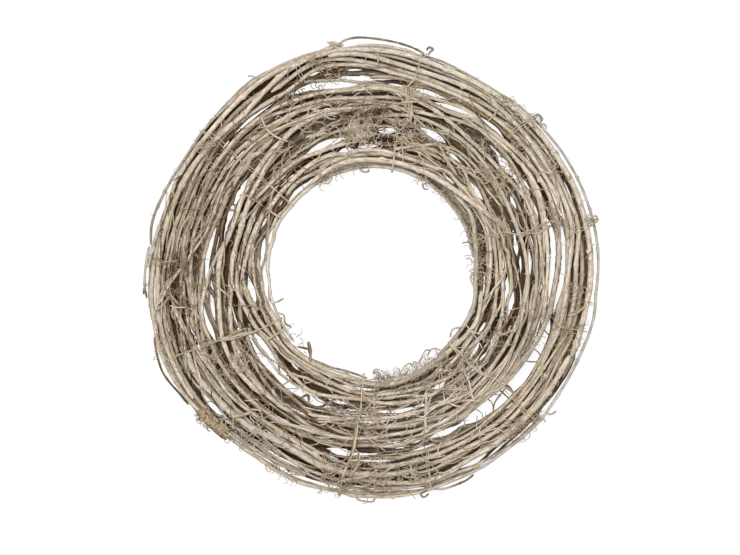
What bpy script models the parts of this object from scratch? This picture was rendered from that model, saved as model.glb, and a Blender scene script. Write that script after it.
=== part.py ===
"""Willow wreath, lying on its back with its front up.

Long canes are bent round a common centre. Each front cane follows a route of its own, given as
azimuths in degrees, counted anticlockwise from +X, and radii in millimetres. Back canes run under
each ring by a rule. Canes can't share space, so settle() lets them push each other apart, mostly
in height, as a maker's hands would. Binding strands then go round what they hold.
"""

import math

import bmesh
import bpy
import numpy as np

# Driving dimensions, in millimetres and degrees
MM = 0.001
STEP = 6.0
PLANES = 60
TUBE_SIDES = 5
STRAND_SIDES = 4
CLEARANCE = 0.45
FLOOR_GAP = 0.9
BACK_WIDTH = 5.6
STRAND_WIDTH = 1.7
STRAND_CLEARANCE = 0.36
STRAND_PITCH = 2.6
STRAND_ANGLES = 720
STRAND_KEPT = 48
TAIL_RISE = 3.0
NEAR = 9.0
SHOOT_STEP = 2.6
SHOOT_ROOT = 3.0
SHOOT_CLEARANCE = 0.9
WELD = 1e-6
PINCHED_HEIGHT = 6.0
SETTLING_TURNS = 900
LAYER_HEIGHT = {0: 5.0, 1: 11.0, 2: 16.0, 3: 21.0, 4: 25.0}
REST_SPOTS = ((108.0, "middle_back_1"), (228.0, "middle_back_2"), (342.0, "middle_back_2"))

# Front canes: layer, widths along the cane, and the route
FRONT_CANES = {
    "outer_rim_cane": (2, (3.2, 4.5, 3.2), (
        (150, 189), (160, 189.5), (170, 193), (187, 192.5), (195, 198.5), (200, 203), (208, 212),
        (225, 210), (245, 213), (260, 219), (270, 221), (285, 228), (300, 226.5), (320, 226),
        (330, 224), (360, 225.5), (380, 224.5), (395, 221), (410, 217), (420, 216), (435, 218.5))),
    "outer_thick_cane": (3, (6.0, 6.0, 5.4), (
        (338, 217), (360, 217), (390, 215), (400, 213.5), (420, 212.3), (430, 212), (437, 214),
        (445, 220), (450, 221.5), (470, 219), (480, 218), (490, 214.5), (500, 211.5), (518, 214))),
    "outer_butt_cane": (3, (3.0, 4.6, 6.5), (
        (185, 207.5), (190, 202.5), (196, 198.5), (208, 192), (225, 191), (236, 187), (245, 190),
        (250, 193.5), (255, 198), (266, 211), (275, 215), (284, 220), (297, 214.5), (303, 213),
        (320, 214), (338, 215))),
    "outer_rising_cane": (2, (4.0, 4.2, 4.0), (
        (160, 162), (170, 165), (180, 171), (190, 176), (200, 181.5), (207, 187), (225, 187.5),
        (235, 189.5), (245, 195), (255, 202), (265, 213.5), (270, 219), (283, 223.5), (299, 218))),
    "outer_winding_cane": (2, (4.5, 4.5, 4.2), (
        (284, 214), (290, 210.5), (300, 206.5), (310, 205.8), (330, 208.5), (350, 208.5),
        (370, 208), (380, 203), (390, 198), (407, 198), (413, 193), (422, 189), (440, 190))),
    "outer_waving_cane": (2, (5.0, 5.0, 4.6), (
        (284, 205), (290, 203), (310, 204.5), (325, 202), (335, 204), (350, 203), (360, 203),
        (368, 206), (375, 210), (389, 205), (405, 202.5), (412, 199), (430, 195.5), (440, 198),
        (448, 203), (455, 209), (466, 214), (473, 208), (482, 203.5))),
    "outer_lower_cane": (3, (4.6, 5.4, 5.0), (
        (320, 194.5), (330, 193.5), (340, 196), (360, 195.5), (372, 205), (380, 203.5), (390, 201),
        (400, 201), (420, 203.2), (430, 201.5), (440, 203), (445, 206), (452, 213), (463, 217))),
    "outer_slim_cane": (2, (3.5, 3.5, 3.0), (
        (28, 210), (40, 208.5), (60, 207.7), (70, 206.5), (80, 209.5), (88, 214.5), (98, 221),
        (120, 222), (135, 218), (150, 219.5), (163, 225.5), (171, 226.5), (176, 221.5))),
    "outer_inside_cane": (2, (4.5, 4.5, 3.8), (
        (262, 190), (290, 190.5), (305, 193), (320, 192), (350, 192), (366, 195), (373, 200),
        (380, 197), (400, 194.5), (420, 192), (435, 193), (446, 199), (455, 204.5), (464, 208),
        (475, 198), (490, 198), (500, 199.5), (510, 195.5), (520, 195.5), (530, 199.5), (540, 206))),
    "outer_bowed_cane": (3, (5.0, 6.5, 4.2), (
        (101, 217), (104, 219), (110, 217), (120, 208), (130, 200.5), (140, 203.5), (150, 207.5),
        (160, 209), (170, 212.5), (180, 214.5), (190, 218), (200, 221.5), (215, 221.5))),
    "outer_buried_cane": (1, (5.0, 4.6, 4.0), (
        (113, 207), (125, 207), (141, 205.5), (158, 203), (175, 204), (185, 208), (195, 212),
        (205, 214), (218, 212))),
    "outer_left_cane": (2, (4.0, 4.2, 4.0), (
        (143, 201), (155, 199.5), (165, 201), (175, 206), (190, 214), (200, 217.5), (232, 218),
        (250, 217.5))),
    "outer_edge_cane": (2, (5.2, 4.6, 3.0), (
        (160, 213), (170, 216.5), (180, 219), (190, 223.5), (200, 227.5), (216, 226.5),
        (225, 222), (238, 221.5), (246, 227.5), (265, 229), (285, 230), (296, 231))),
    "outer_stub_cane": (3, (3.5, 3.5, 3.2), ((158, 216), (170, 217.5), (177, 222), (187, 229))),
    "outer_heavy_cane": (3, (7.0, 6.8, 6.0), (
        (205, 205), (210, 207.5), (216, 206), (230, 202), (240, 198), (245, 198.5), (255, 204),
        (265, 207), (284, 206))),
    "outer_short_cane": (2, (3.5, 3.6, 3.4), (
        (196, 198), (225, 197.5), (234, 202.5), (245, 207), (253, 212), (262, 215), (273, 211))),
    "outer_tapered_cane": (3, (4.5, 4.0, 2.6), (
        (272, 199), (290, 196), (300, 196), (310, 199), (325, 197.5), (335, 199), (342, 205))),
    "middle_long_cane": (2, (3.6, 5.0, 4.6), (
        (215, 150), (225, 155.5), (235, 161.5), (245, 168.5), (253, 173), (262, 175), (280, 178.5),
        (290, 175.5), (300, 172.5), (315, 172), (325, 173.5), (335, 179.5), (350, 182.5),
        (360, 186), (373, 190.5), (385, 190), (395, 187), (405, 182), (415, 179), (435, 176.5))),
    "middle_round_cane": (2, (4.0, 4.2, 4.0), (
        (340, 178), (350, 174.5), (360, 174.5), (370, 177), (390, 183), (398, 180), (410, 175.5),
        (420, 170), (430, 163), (440, 162), (450, 165.5), (460, 171), (480, 174), (500, 178),
        (515, 176.5), (530, 182), (550, 183))),
    "middle_lower_cane": (2, (5.0, 4.0, 3.0), (
        (268, 158), (280, 160), (300, 167), (315, 168.5), (330, 168), (350, 165), (370, 163.5),
        (385, 169), (395, 172.5), (410, 175), (430, 176))),
    "middle_crossing_cane": (3, (4.0, 4.2, 4.0), (
        (15, 166), (25, 166), (35, 161), (45, 160.5), (55, 162), (65, 167.5), (77, 174),
        (85, 179.5), (95, 178.5), (105, 182), (120, 187), (140, 188), (150, 187))),
    "middle_left_cane": (3, (4.5, 4.0, 3.5), (
        (101, 125), (110, 127.5), (120, 129.5), (128, 131), (140, 132.5), (150, 136.5), (160, 143), (170, 152), (180, 161), (188, 171),
        (198, 176), (218, 180), (230, 179.5), (240, 177.3), (255, 173.5), (270, 169.5), (280, 167),
        (290, 169.5), (305, 164))),
    "middle_wavy_cane": (2, (4.0, 4.4, 3.8), (
        (303, 166), (315, 163.5), (330, 160.5), (345, 155), (358, 156), (370, 150.5), (380, 148),
        (390, 148.5), (400, 151), (410, 155.5), (425, 157.5), (440, 155.5), (445, 152), (455, 149.5))),
    "middle_top_cane": (2, (4.0, 4.0, 3.8), (
        (80, 172), (95, 170), (105, 174), (118, 179), (125, 184), (135, 186.5), (150, 186), (165, 186))),
    "middle_climbing_cane": (4, (2.8, 3.0, 2.6), (
        (89, 160), (100, 162), (120, 166), (130, 170.5), (140, 173.5), (150, 170.5), (160, 169),
        (170, 172.5), (175, 180), (182, 195), (187, 214), (190, 223))),
    "middle_speckled_cane": (3, (6.5, 5.6, 4.2), (
        (100, 160), (118, 161), (130, 152.5), (140, 145), (150, 141), (160, 138), (170, 137.5),
        (180, 140), (190, 144), (200, 151.5), (210, 159.5), (225, 165.5), (240, 166))),
    "middle_twin_cane": (3, (5.0, 5.2, 4.8), (
        (128, 156), (135, 152), (145, 149.5), (155, 147.5), (168, 147), (175, 152), (185, 155),
        (195, 159), (205, 166), (215, 169.5), (225, 168))),
    "middle_steep_cane": (2, (4.0, 4.0, 3.6), (
        (222, 150), (235, 151.5), (240, 153.5), (250, 161.5), (260, 168), (270, 170))),
    "middle_rim_cane": (2, (4.0, 4.0, 3.8), ((235, 181), (250, 181), (260, 179.5), (270, 177))),
    "middle_inside_cane": (3, (4.0, 4.2, 3.8), (
        (245, 160), (255, 155.5), (265, 151.5), (280, 150), (295, 151), (305, 156), (315, 157.5),
        (325, 154.5), (340, 153.5))),
    "inner_diagonal_cane": (4, (5.4, 6.2, 5.0), (
        (10, 144), (15, 141), (20, 134.5), (25, 126), (30, 120.5), (35, 116.5), (45, 111), (60, 109),
        (90, 108), (100, 109), (125, 106.5))),
    "inner_right_cane": (2, (4.0, 4.2, 3.8), (
        (318, 146), (328, 145.5), (335, 141), (345, 134.5), (355, 130), (375, 128), (390, 131),
        (398, 131))),
    "inner_slim_cane": (2, (3.4, 3.6, 3.4), (
        (320, 124), (335, 129.5), (345, 126), (360, 123), (375, 123), (390, 126.5), (400, 130),
        (408, 134))),
    "inner_long_cane": (2, (3.6, 4.8, 5.0), (
        (305, 123.5), (325, 120), (340, 117.5), (355, 117.5), (385, 121), (395, 121), (410, 119),
        (425, 116), (450, 118), (480, 120), (495, 118.5), (510, 120), (520, 123.5), (535, 128.5),
        (550, 134.5), (560, 141.5), (570, 147))),
    "inner_low_cane": (2, (5.0, 5.0, 4.6), (
        (325, 109.5), (340, 106), (355, 103), (375, 106), (390, 112), (400, 110))),
    "inner_rim_cane": (1, (3.0, 3.0, 2.8), (
        (8, 101), (20, 101.5), (30, 100.5), (50, 100.5), (70, 104), (100, 103), (125, 104.5),
        (145, 106), (155, 108), (165, 108.5), (175, 106.5), (197, 108))),
    "inner_left_cane": (2, (5.0, 4.6, 4.0), (
        (140, 129), (155, 131), (165, 130), (180, 134), (190, 137), (200, 134), (210, 129.5),
        (220, 124.5), (240, 122), (245, 123))),
    "inner_lower_cane": (2, (4.5, 4.5, 4.2), (
        (197, 128), (205, 125), (215, 121), (235, 120), (250, 122), (262, 126), (285, 127),
        (300, 131), (305, 133))),
    "inner_thick_cane": (3, (5.6, 5.6, 5.0), (
        (198, 113), (205, 111), (220, 113), (240, 112), (260, 112.5), (270, 117), (285, 116),
        (295, 113.5), (315, 112.5), (335, 116), (345, 110.5), (350, 108.5))),
    "inner_fine_cane": (3, (3.0, 3.2, 3.0), (
        (205, 114.5), (215, 118.5), (235, 117), (255, 118.5), (264, 125))),
    "inner_bridging_cane": (3, (4.0, 4.2, 3.8), (
        (213, 131), (225, 133.5), (245, 137.5), (258, 133), (265, 131), (280, 137), (295, 141))),
    "inner_gap_cane": (3, (4.0, 4.0, 3.4), ((203, 137), (210, 139), (230, 141), (246, 139.5))),
}

# Back canes: the ring they run under, where across it, first and last azimuth
BACK_CANES = {
    "outer_back_1": ("outer", 0.70, 6, 330),
    "outer_back_2": ("outer", 0.28, 192, 516),
    "middle_back_1": ("middle", 0.72, 36, 354),
    "middle_back_2": ("middle", 0.25, 216, 540),
    "inner_back_1": ("inner", 0.75, 96, 414),
    "inner_back_2": ("inner", 0.22, 282, 600),
}

# Side shoots: the cane they grow from, width, and their route as azimuth, radius and rise above the cane.
# They run over whatever lies in their way.
SHOOTS = (
    ("outer_thick_cane", 2.2, ((441, 218, 0), (444, 224, 1), (448, 229, 2), (452, 231.5, 2), (456, 231, 3),
                               (459, 228, 4))),
    ("outer_thick_cane", 2.2, ((99, 221, 0), (100, 226, 0), (101.5, 231, 1))),
    ("outer_slim_cane", 2.0, ((121.5, 222, 0), (122, 226, 1), (123, 229.5, 2))),
    ("outer_stub_cane", 2.2, ((184, 227, 0), (185, 230, 1), (186.5, 232, 1))),
    ("outer_rim_cane", 2.0, ((320, 226, 0), (320.5, 230, 0), (322, 233, 1))),
    ("inner_thick_cane", 2.4, ((235, 113, 0), (233, 108, 0), (231, 103, 1), (228, 98, 1))),
    ("inner_thick_cane", 1.7, ((277, 117, 0), (277.5, 110, 1), (275, 104, 2), (271, 102, 3), (270, 106, 4))),
    ("inner_thick_cane", 1.7, ((284, 116, 0), (285, 108, 0), (288, 103, 1), (291, 102, 3), (292, 106, 4))),
    ("inner_thick_cane", 1.7, ((297, 113, 0), (296, 106, 0), (299, 101, 0), (303, 98, 1), (305, 101, 3))),
    ("inner_thick_cane", 1.7, ((309, 112.5, 0), (309, 105, 0), (306, 100, 1), (302, 103, 3))),
    ("inner_rim_cane", 1.6, ((98, 103, 0), (97, 98, 0), (94, 96, 1), (92, 98, 3))),
    ("inner_rim_cane", 1.6, ((114, 104, 0), (115, 98, 0), (118, 96, 1), (120, 98, 3))),
    ("inner_rim_cane", 1.6, ((58, 101.5, 0), (59, 97, 0), (57, 95, 1), (55, 97, 3))),
    ("middle_long_cane", 2.6, ((286, 177, 0), (288, 170, 0), (289, 160, 0), (291, 148, 0), (293, 135, 0))),
    ("middle_long_cane", 2.6, ((307, 172, 0), (308, 160, 0), (310, 150, 0), (311.5, 138, 0), (313, 131, 0))),
)

# Binding strands: azimuth, innermost and outermost radius held, length of the loose tail
BINDINGS = {
    "binding_right": (14.0, 90.0, 235.0, 6.0),
    "binding_top": (79.0, 90.0, 235.0, 8.0),
    "binding_upper_left": (141.0, 90.0, 235.0, 7.0),
    "binding_lower_left": (207.0, 90.0, 235.0, 5.0),
    "binding_bottom": (263.5, 90.0, 235.0, 2.0),
    "binding_lower_right": (317.0, 90.0, 235.0, 9.0),
    "outer_binding_1": (43.5, 188.5, 235.0, 8.0),
    "outer_binding_2": (110.5, 191.0, 235.0, 5.0),
    "outer_binding_3": (176.5, 188.0, 235.0, 4.0),
    "outer_binding_4": (234.5, 184.8, 235.0, 5.0),
    "outer_binding_5": (286.5, 184.0, 235.0, 6.0),
    "outer_binding_6": (344.5, 187.0, 235.0, 5.0),
}

# Colours of the dry bark and of the strands, linear, with their roughness
PALE_BARK = (0.40, 0.34, 0.25)
WARM_BARK = (0.36, 0.28, 0.19)
SHADED_BARK = (0.20, 0.155, 0.105)
STRAND_COLOUR = (0.46, 0.36, 0.23)
BARK_ROUGHNESS = 0.85
STRAND_ROUGHNESS = 0.7


def clear_scene():
    """Removes what the startup scene holds."""
    for item in list(bpy.data.objects):
        bpy.data.objects.remove(item, do_unlink=True)


def smooth_curve(points, at):
    """Values at 'at' on the cubic curve through (position, value) points."""
    x, y = np.array(points, float).T
    slope = np.gradient(y, x)
    i = np.clip(np.searchsorted(x, at) - 1, 0, len(x) - 2)
    h = x[i + 1] - x[i]
    t = (at - x[i]) / h
    start = (1 + 2 * t) * (1 - t) ** 2 * y[i] + t * (1 - t) ** 2 * h * slope[i]
    end = t * t * (3 - 2 * t) * y[i + 1] + t * t * (t - 1) * h * slope[i + 1]
    return start + end


class Canes:
    """The canes as arrays with a row for each cane and a column for each radial plane."""

    def __init__(self):
        self.names = []
        self.first = []
        self.count = []
        rows = []
        for name, (layer, widths, route) in FRONT_CANES.items():
            rows.append(self.front_row(name, layer, widths, route))
        front = np.array([row[0] for row in rows])
        for name, (ring, share, start, end) in BACK_CANES.items():
            rows.append(self.back_row(name, ring, share, start, end, front))
        self.route = np.array([row[0] for row in rows])
        self.half = np.array([row[1] for row in rows])
        self.aim = np.array([row[2] for row in rows])
        self.present = ~np.isnan(self.route)
        self.route = np.nan_to_num(self.route)
        self.radius = self.route.copy()
        self.height = self.aim.copy()

    def planes_of(self, name, start, end):
        """Columns that a cane from 'start' to 'end' degrees crosses, and their azimuths."""
        first = math.ceil(start / STEP - 0.5)
        last = math.floor(end / STEP + 0.5)
        self.names.append(name)
        self.first.append(first % PLANES)
        self.count.append(last - first + 1)
        steps = np.arange(first, last + 1)
        return steps % PLANES, steps * STEP

    def front_row(self, name, layer, widths, route):
        columns, azimuths = self.planes_of(name, route[0][0], route[-1][0])
        radius = np.full(PLANES, np.nan)
        half = np.zeros(PLANES)
        aim = np.zeros(PLANES)
        inside = np.clip(azimuths, route[0][0], route[-1][0])
        radius[columns] = smooth_curve(route, inside)
        along = np.linspace(0, 1, len(columns))
        half[columns] = np.interp(along, (0, 0.5, 1), widths) / 2
        aim[columns] = LAYER_HEIGHT[layer]
        return radius, half, aim

    def back_row(self, name, ring, share, start, end, front):
        """A back cane keeps its share of the way across the front canes of its ring."""
        columns, azimuths = self.planes_of(name, start, end)
        in_ring = np.array([cane.startswith(ring) for cane in FRONT_CANES])
        low, high = {"outer": (186, 232), "middle": (145, 186), "inner": (96, 140)}[ring]
        held = np.where(in_ring[:, None] & (front > low) & (front < high), front, np.nan)
        middle = np.nanmin(held, axis=0) * (1 - share) + np.nanmax(held, axis=0) * share
        for _ in range(4):
            middle = (np.roll(middle, 1) + 2 * middle + np.roll(middle, -1)) / 4
        radius = np.full(PLANES, np.nan)
        half = np.zeros(PLANES)
        aim = np.zeros(PLANES)
        radius[columns] = middle[columns]
        half[columns] = BACK_WIDTH / 2
        aim[columns] = LAYER_HEIGHT[0]
        return radius, half, aim


def near_pairs(canes):
    """Places where two canes could touch: both rows, the column, and the share of the way to the next."""
    joined = canes.present & np.roll(canes.present, -1, axis=1)
    places = []
    for a in range(len(canes.names)):
        for b in range(a + 1, len(canes.names)):
            reach = canes.half[a] + canes.half[b] + NEAR
            close = np.abs(canes.route[a] - canes.route[b]) < reach
            for share in (0.0, 0.25, 0.5, 0.75):
                both = canes.present if share == 0 else joined
                for k in np.nonzero(both[a] & both[b] & (close | np.roll(close, -1)))[0]:
                    places.append((a, b, k, share))
    a, b, k, share = np.array(places).T
    return a.astype(int), b.astype(int), k.astype(int), share


def gaps(canes, pairs):
    """How far apart, along the ring's radius and in height, the canes of each pair are, and their need."""
    a, b, k, share = pairs
    after = (k + 1) % PLANES
    value = {}
    for key, grid in (("r", canes.radius), ("z", canes.height), ("half", canes.half), ("lean", canes.lean)):
        for side, row in (("a", a), ("b", b)):
            value[key + side] = grid[row, k] * (1 - share) + grid[row, after] * share
    need = value["halfa"] + value["halfb"] + CLEARANCE
    across = (value["ra"] - value["rb"]) / np.maximum(value["leana"], value["leanb"])
    return across, value["za"] - value["zb"], need


def push_apart(canes, pairs, order, strength):
    """Moves canes that are closer than they may be, more in height than across the ring."""
    a, b, k, share = pairs
    after = (k + 1) % PLANES
    across, up, need = gaps(canes, pairs)
    apart = np.hypot(across, up)
    crossed = (np.abs(across) < 0.7 * need) & (up * order < 0)
    touching = (apart < need) | crossed
    dr = 0.5 * across
    dz = np.where(crossed, order * need, up + 0.25 * order * need)
    length = np.hypot(dr, dz) + 1e-9
    size = np.where(crossed, 0.6 * need, need - apart) * touching
    move_r = 0.5 * size * dr / length
    move_z = 0.5 * size * dz / length
    moves = (np.zeros((len(canes.names) * PLANES,)) for _ in range(3))
    sum_r, sum_z, weight = moves
    for row, sign in ((a, 1), (b, -1)):
        for column, part in ((k, 1 - share), (after, share)):
            place = row * PLANES + column
            part = part * touching
            sum_r += np.bincount(place, sign * move_r * part, len(sum_r))
            sum_z += np.bincount(place, sign * move_z * part, len(sum_z))
            weight += np.bincount(place, part, len(weight))
    weight = np.maximum(weight, 0.25).reshape(canes.radius.shape)
    canes.radius += strength * sum_r.reshape(weight.shape) / weight
    canes.height += strength * sum_z.reshape(weight.shape) / weight


def bend_smoothly(canes, share):
    """Draws each cane's height, and its distance from its route, towards its neighbours' mean."""
    inner = canes.present & np.roll(canes.present, 1, axis=1) & np.roll(canes.present, -1, axis=1)
    off = canes.radius - canes.route
    for grid in (canes.height, off):
        mean = (np.roll(grid, 1, axis=1) + np.roll(grid, -1, axis=1)) / 2
        grid += share * np.where(inner, mean - grid, 0)
    canes.radius = canes.route + off


def hold_down(canes):
    """Keeps every cane above the floor, and the resting ones flat on it at the rest spots."""
    canes.height = np.maximum(canes.height, canes.lowest)
    for azimuth, name in REST_SPOTS:
        row = canes.names.index(name)
        k = round(azimuth / STEP)
        for column in range(k - 1, k + 3):
            column %= PLANES
            canes.height[row, column] = canes.half[row, column] * math.cos(math.pi / TUBE_SIDES)


def settle(canes):
    """Lets the canes find their places: pulled to their routes, laid down, pushed apart, held down."""
    slope = np.gradient(canes.route, axis=1) / (np.maximum(canes.route, 1) * math.radians(STEP))
    canes.lean = np.hypot(1, np.clip(np.where(canes.present, slope, 0), -1, 1))
    canes.lowest = canes.half + FLOOR_GAP
    rank = canes.aim.max(axis=1) + 0.01 * np.arange(len(canes.names))
    for azimuth, low, high, _ in BINDINGS.values():
        for column in (math.floor(azimuth / STEP), math.ceil(azimuth / STEP)):
            held = (canes.route[:, column] > low) & (canes.route[:, column] < high)
            lifted = canes.half[:, column] + FLOOR_GAP + STRAND_WIDTH + STRAND_CLEARANCE
            canes.lowest[:, column] = np.where(held, lifted, canes.lowest[:, column])
            canes.aim[:, column] = np.where(held, PINCHED_HEIGHT, canes.aim[:, column])
    pairs = near_pairs(canes)
    order = np.sign(rank[pairs[0]] - rank[pairs[1]])
    for turn in range(SETTLING_TURNS):
        loose = max(0.0, 1 - turn / (0.85 * SETTLING_TURNS))
        canes.radius += 0.06 * loose * (canes.route - canes.radius)
        canes.height += 0.03 * loose * (canes.aim - canes.height)
        if turn < 0.92 * SETTLING_TURNS:
            bend_smoothly(canes, 0.25 * loose + 0.02)
        push_apart(canes, pairs, order, 1.0)
        hold_down(canes)


def collection_of(name):
    """A new collection in the scene."""
    collection = bpy.data.collections.new(name)
    bpy.context.scene.collection.children.link(collection)
    return collection


def material(name, colour, roughness):
    """A Principled BSDF of one colour."""
    made = bpy.data.materials.new(name)
    made.use_nodes = True
    shader = made.node_tree.nodes["Principled BSDF"]
    shader.inputs["Base Color"].default_value = (*colour, 1)
    shader.inputs["Roughness"].default_value = roughness
    shader.inputs["Metallic"].default_value = 0
    made.diffuse_color = (*colour, 1)
    return made


def round_profile(name, sides, collection):
    """A closed outline of radius 1 with a flat side down, which a tube carries along its path."""
    curve = bpy.data.curves.new(name, "CURVE")
    spline = curve.splines.new("POLY")
    spline.points.add(sides - 1)
    for i, point in enumerate(spline.points):
        angle = -math.pi / 2 - math.tau * (i + 0.5) / sides
        point.co = (math.cos(angle), math.sin(angle), 0, 1)
    spline.use_cyclic_u = True
    profile = bpy.data.objects.new(name, curve)
    profile.hide_render = True
    profile.display_type = "WIRE"
    collection.objects.link(profile)
    return profile


def tube(name, points, halves, profile, finish, collection, twist="Z_UP"):
    """A closed tube along points in millimetres, with a half width at each."""
    curve = bpy.data.curves.new(name, "CURVE")
    curve.dimensions = "3D"
    curve.twist_mode = twist
    curve.bevel_mode = "OBJECT"
    curve.bevel_object = profile
    curve.use_fill_caps = True
    spline = curve.splines.new("POLY")
    spline.points.add(len(points) - 1)
    for point, place, half in zip(spline.points, points, halves):
        point.co = (*(np.array(place) * MM), 1)
        point.radius = half * MM
    curve.materials.append(finish)
    made = bpy.data.objects.new(name, curve)
    collection.objects.link(made)
    return made


def polar(azimuth, radius, height):
    """A point from its azimuth in degrees, its radius and its height."""
    turn = math.radians(azimuth)
    return radius * math.cos(turn), radius * math.sin(turn), height


def build_canes(canes, profile, collection):
    finishes = (
        material("pale_bark", PALE_BARK, BARK_ROUGHNESS),
        material("warm_bark", WARM_BARK, BARK_ROUGHNESS),
        material("shaded_bark", SHADED_BARK, BARK_ROUGHNESS),
    )
    for row, name in enumerate(canes.names):
        steps = canes.first[row] + np.arange(canes.count[row])
        columns = steps % PLANES
        path = [
            polar(step * STEP, canes.radius[row, k], canes.height[row, k])
            for step, k in zip(steps, columns)
        ]
        finish = finishes[2] if "back" in name else finishes[row % 2]
        tube(name, path, canes.half[row, columns], profile, finish, collection)


def between_planes(canes, azimuth):
    """Distances out, heights and half widths of all canes at an azimuth, with which of them are there."""
    k = math.floor(azimuth / STEP)
    share = azimuth / STEP - k
    k %= PLANES
    after = (k + 1) % PLANES
    there = canes.present[:, k] & canes.present[:, after]
    r, z, half = (
        grid[:, k] * (1 - share) + grid[:, after] * share
        for grid in (canes.radius, canes.height, canes.half * canes.lean)
    )
    return r, z, half, there


def held_circles(canes, azimuth, low, high):
    """Distances out, heights and half widths of the canes that a strand at this azimuth goes round."""
    r, z, half, there = between_planes(canes, azimuth)
    held = there & (r > low) & (r < high)
    return np.array((r[held], z[held], half[held]))


def build_binding(name, canes, azimuth, low, high, tail, profile, finish, collection):
    """A strand laid once round the canes, a little aslant so that its ends pass, with a loose tail."""
    aslant = math.degrees(STRAND_PITCH / 2 / high)
    sides = [held_circles(canes, azimuth + shift, low, high) for shift in (-2 * aslant, 0, 2 * aslant)]
    r, z, half = np.concatenate(sides, axis=1)
    reach = half + STRAND_CLEARANCE + STRAND_WIDTH / 2
    angles = np.linspace(0, math.tau, STRAND_ANGLES + 1)
    out, up = np.cos(angles), np.sin(angles)
    outermost = np.argmax(np.outer(out, r) + np.outer(up, z) + reach, axis=1)
    leaves = np.append(np.diff(outermost) != 0, False)
    kept = leaves | np.roll(leaves, 1) | (np.arange(STRAND_ANGLES + 1) % STRAND_KEPT == 0)
    held = outermost[kept]
    path = list(zip(
        r[held] + reach[held] * out[kept],
        z[held] + reach[held] * up[kept],
        (angles[kept] / math.tau - 0.5) * STRAND_PITCH,
    ))
    first = path[0]
    path.insert(0, (first[0] + tail, first[1] + TAIL_RISE, first[2]))
    path.append((first[0] + 0.4 * tail, first[1] - 0.5 * TAIL_RISE, STRAND_PITCH / 2))
    turn = math.radians(azimuth)
    points = [
        (pr * math.cos(turn) - along * math.sin(turn), pr * math.sin(turn) + along * math.cos(turn), pz)
        for pr, pz, along in path
    ]
    halves = [STRAND_WIDTH / 2] * len(points)
    tube(name, points, halves, profile, finish, collection, twist="MINIMUM")


def shoot_path(canes, parent, half, route):
    """The route in steps of SHOOT_STEP, lifted over every other cane that it crosses."""
    azimuths, radii, rises = np.array(route, float).T
    row = canes.names.index(parent)
    r, z, _, _ = between_planes(canes, azimuths[0])
    radii[0] = r[row]
    run = np.hypot(np.diff(radii), np.radians(np.diff(azimuths)) * radii[1:])
    along = np.concatenate(([0], np.cumsum(run)))
    count = max(4, round(along[-1] / SHOOT_STEP))
    at = np.linspace(0, along[-1], count + 1)
    azimuths, radii, rises = (smooth_curve(np.column_stack((along, v)), at) for v in (azimuths, radii, rises))
    heights = z[row] + rises
    for i, azimuth in enumerate(azimuths[1:], 1):
        r, z, width, there = between_planes(canes, azimuth)
        reach = width + half + SHOOT_CLEARANCE
        off = np.abs(r - radii[i])
        there = there & (off < reach)
        if along[-1] * i / count < SHOOT_ROOT:
            there[row] = False
        if there.any():
            over = z[there] + np.sqrt(reach[there] ** 2 - off[there] ** 2)
            heights[i] = max(heights[i], over.max())
    return [polar(*place) for place in zip(azimuths, radii, heights)]


def as_mesh(made, collection):
    """Turns a tube into a mesh object of the same name, with its caps welded on."""
    graph = bpy.context.evaluated_depsgraph_get()
    mesh = bpy.data.meshes.new_from_object(made.evaluated_get(graph))
    name = made.name
    bpy.data.objects.remove(made, do_unlink=True)
    work = bmesh.new()
    work.from_mesh(mesh)
    bmesh.ops.remove_doubles(work, verts=work.verts, dist=WELD)
    work.to_mesh(mesh)
    work.free()
    mesh.name = name
    placed = bpy.data.objects.new(name, mesh)
    collection.objects.link(placed)
    return placed


def grow_shoots(canes, profile, finish, collection):
    """Joins each cane's shoots to it with one union."""
    parents = []
    for parent, _, _ in SHOOTS:
        if parent not in parents:
            parents.append(parent)
    for parent in parents:
        cane = as_mesh(bpy.data.objects[parent], collection)
        buds = collection_of("Shoots of " + parent)
        for i, (grown_from, width, route) in enumerate(SHOOTS):
            if grown_from != parent:
                continue
            path = shoot_path(canes, parent, width / 2, route)
            halves = np.linspace(width / 2, 0.6 * width / 2, len(path))
            shoot = tube(f"shoot_{i}", path, halves, profile, finish, buds, twist="MINIMUM")
            as_mesh(shoot, buds)
        union = cane.modifiers.new("Shoots", "BOOLEAN")
        union.operation = "UNION"
        union.operand_type = "COLLECTION"
        union.collection = buds
        graph = bpy.context.evaluated_depsgraph_get()
        grown = bpy.data.meshes.new_from_object(cane.evaluated_get(graph))
        cane.modifiers.clear()
        cane.data = grown
        for shoot in list(buds.objects):
            bpy.data.objects.remove(shoot, do_unlink=True)
        bpy.data.collections.remove(buds)


def main():
    clear_scene()
    canes = Canes()
    settle(canes)
    wreath = collection_of("Willow wreath")
    guides = collection_of("Guides")
    cane_profile = round_profile("cane_profile", TUBE_SIDES, guides)
    strand_profile = round_profile("strand_profile", STRAND_SIDES, guides)
    build_canes(canes, cane_profile, wreath)
    grow_shoots(canes, strand_profile, bpy.data.materials["warm_bark"], wreath)
    strand = material("strand", STRAND_COLOUR, STRAND_ROUGHNESS)
    for name, (azimuth, low, high, tail) in BINDINGS.items():
        build_binding(name, canes, azimuth, low, high, tail, strand_profile, strand, wreath)


main()
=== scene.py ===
# %% [markdown]
# # A wreath of dry willow canes
# The real wreath is a loose bundle of bark-covered canes, wound round and round into a wide flat
# ring and held by thin strands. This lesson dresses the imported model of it: each plain faceted cane
# is replaced by a finer one on the same line, and the small things that the model leaves out, such
# as thin canes deep in the ring, side shoots and curly tendrils, are laid in and over them.
#
# The wreath's lengths are in millimetres until a mesh is made, and the camera, the lamp and the
# floor are placed in metres. Places on the wreath are given as on a compass laid on it: an azimuth in
# degrees, counted anticlockwise from +X, and a radius from the middle.

import math

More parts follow.
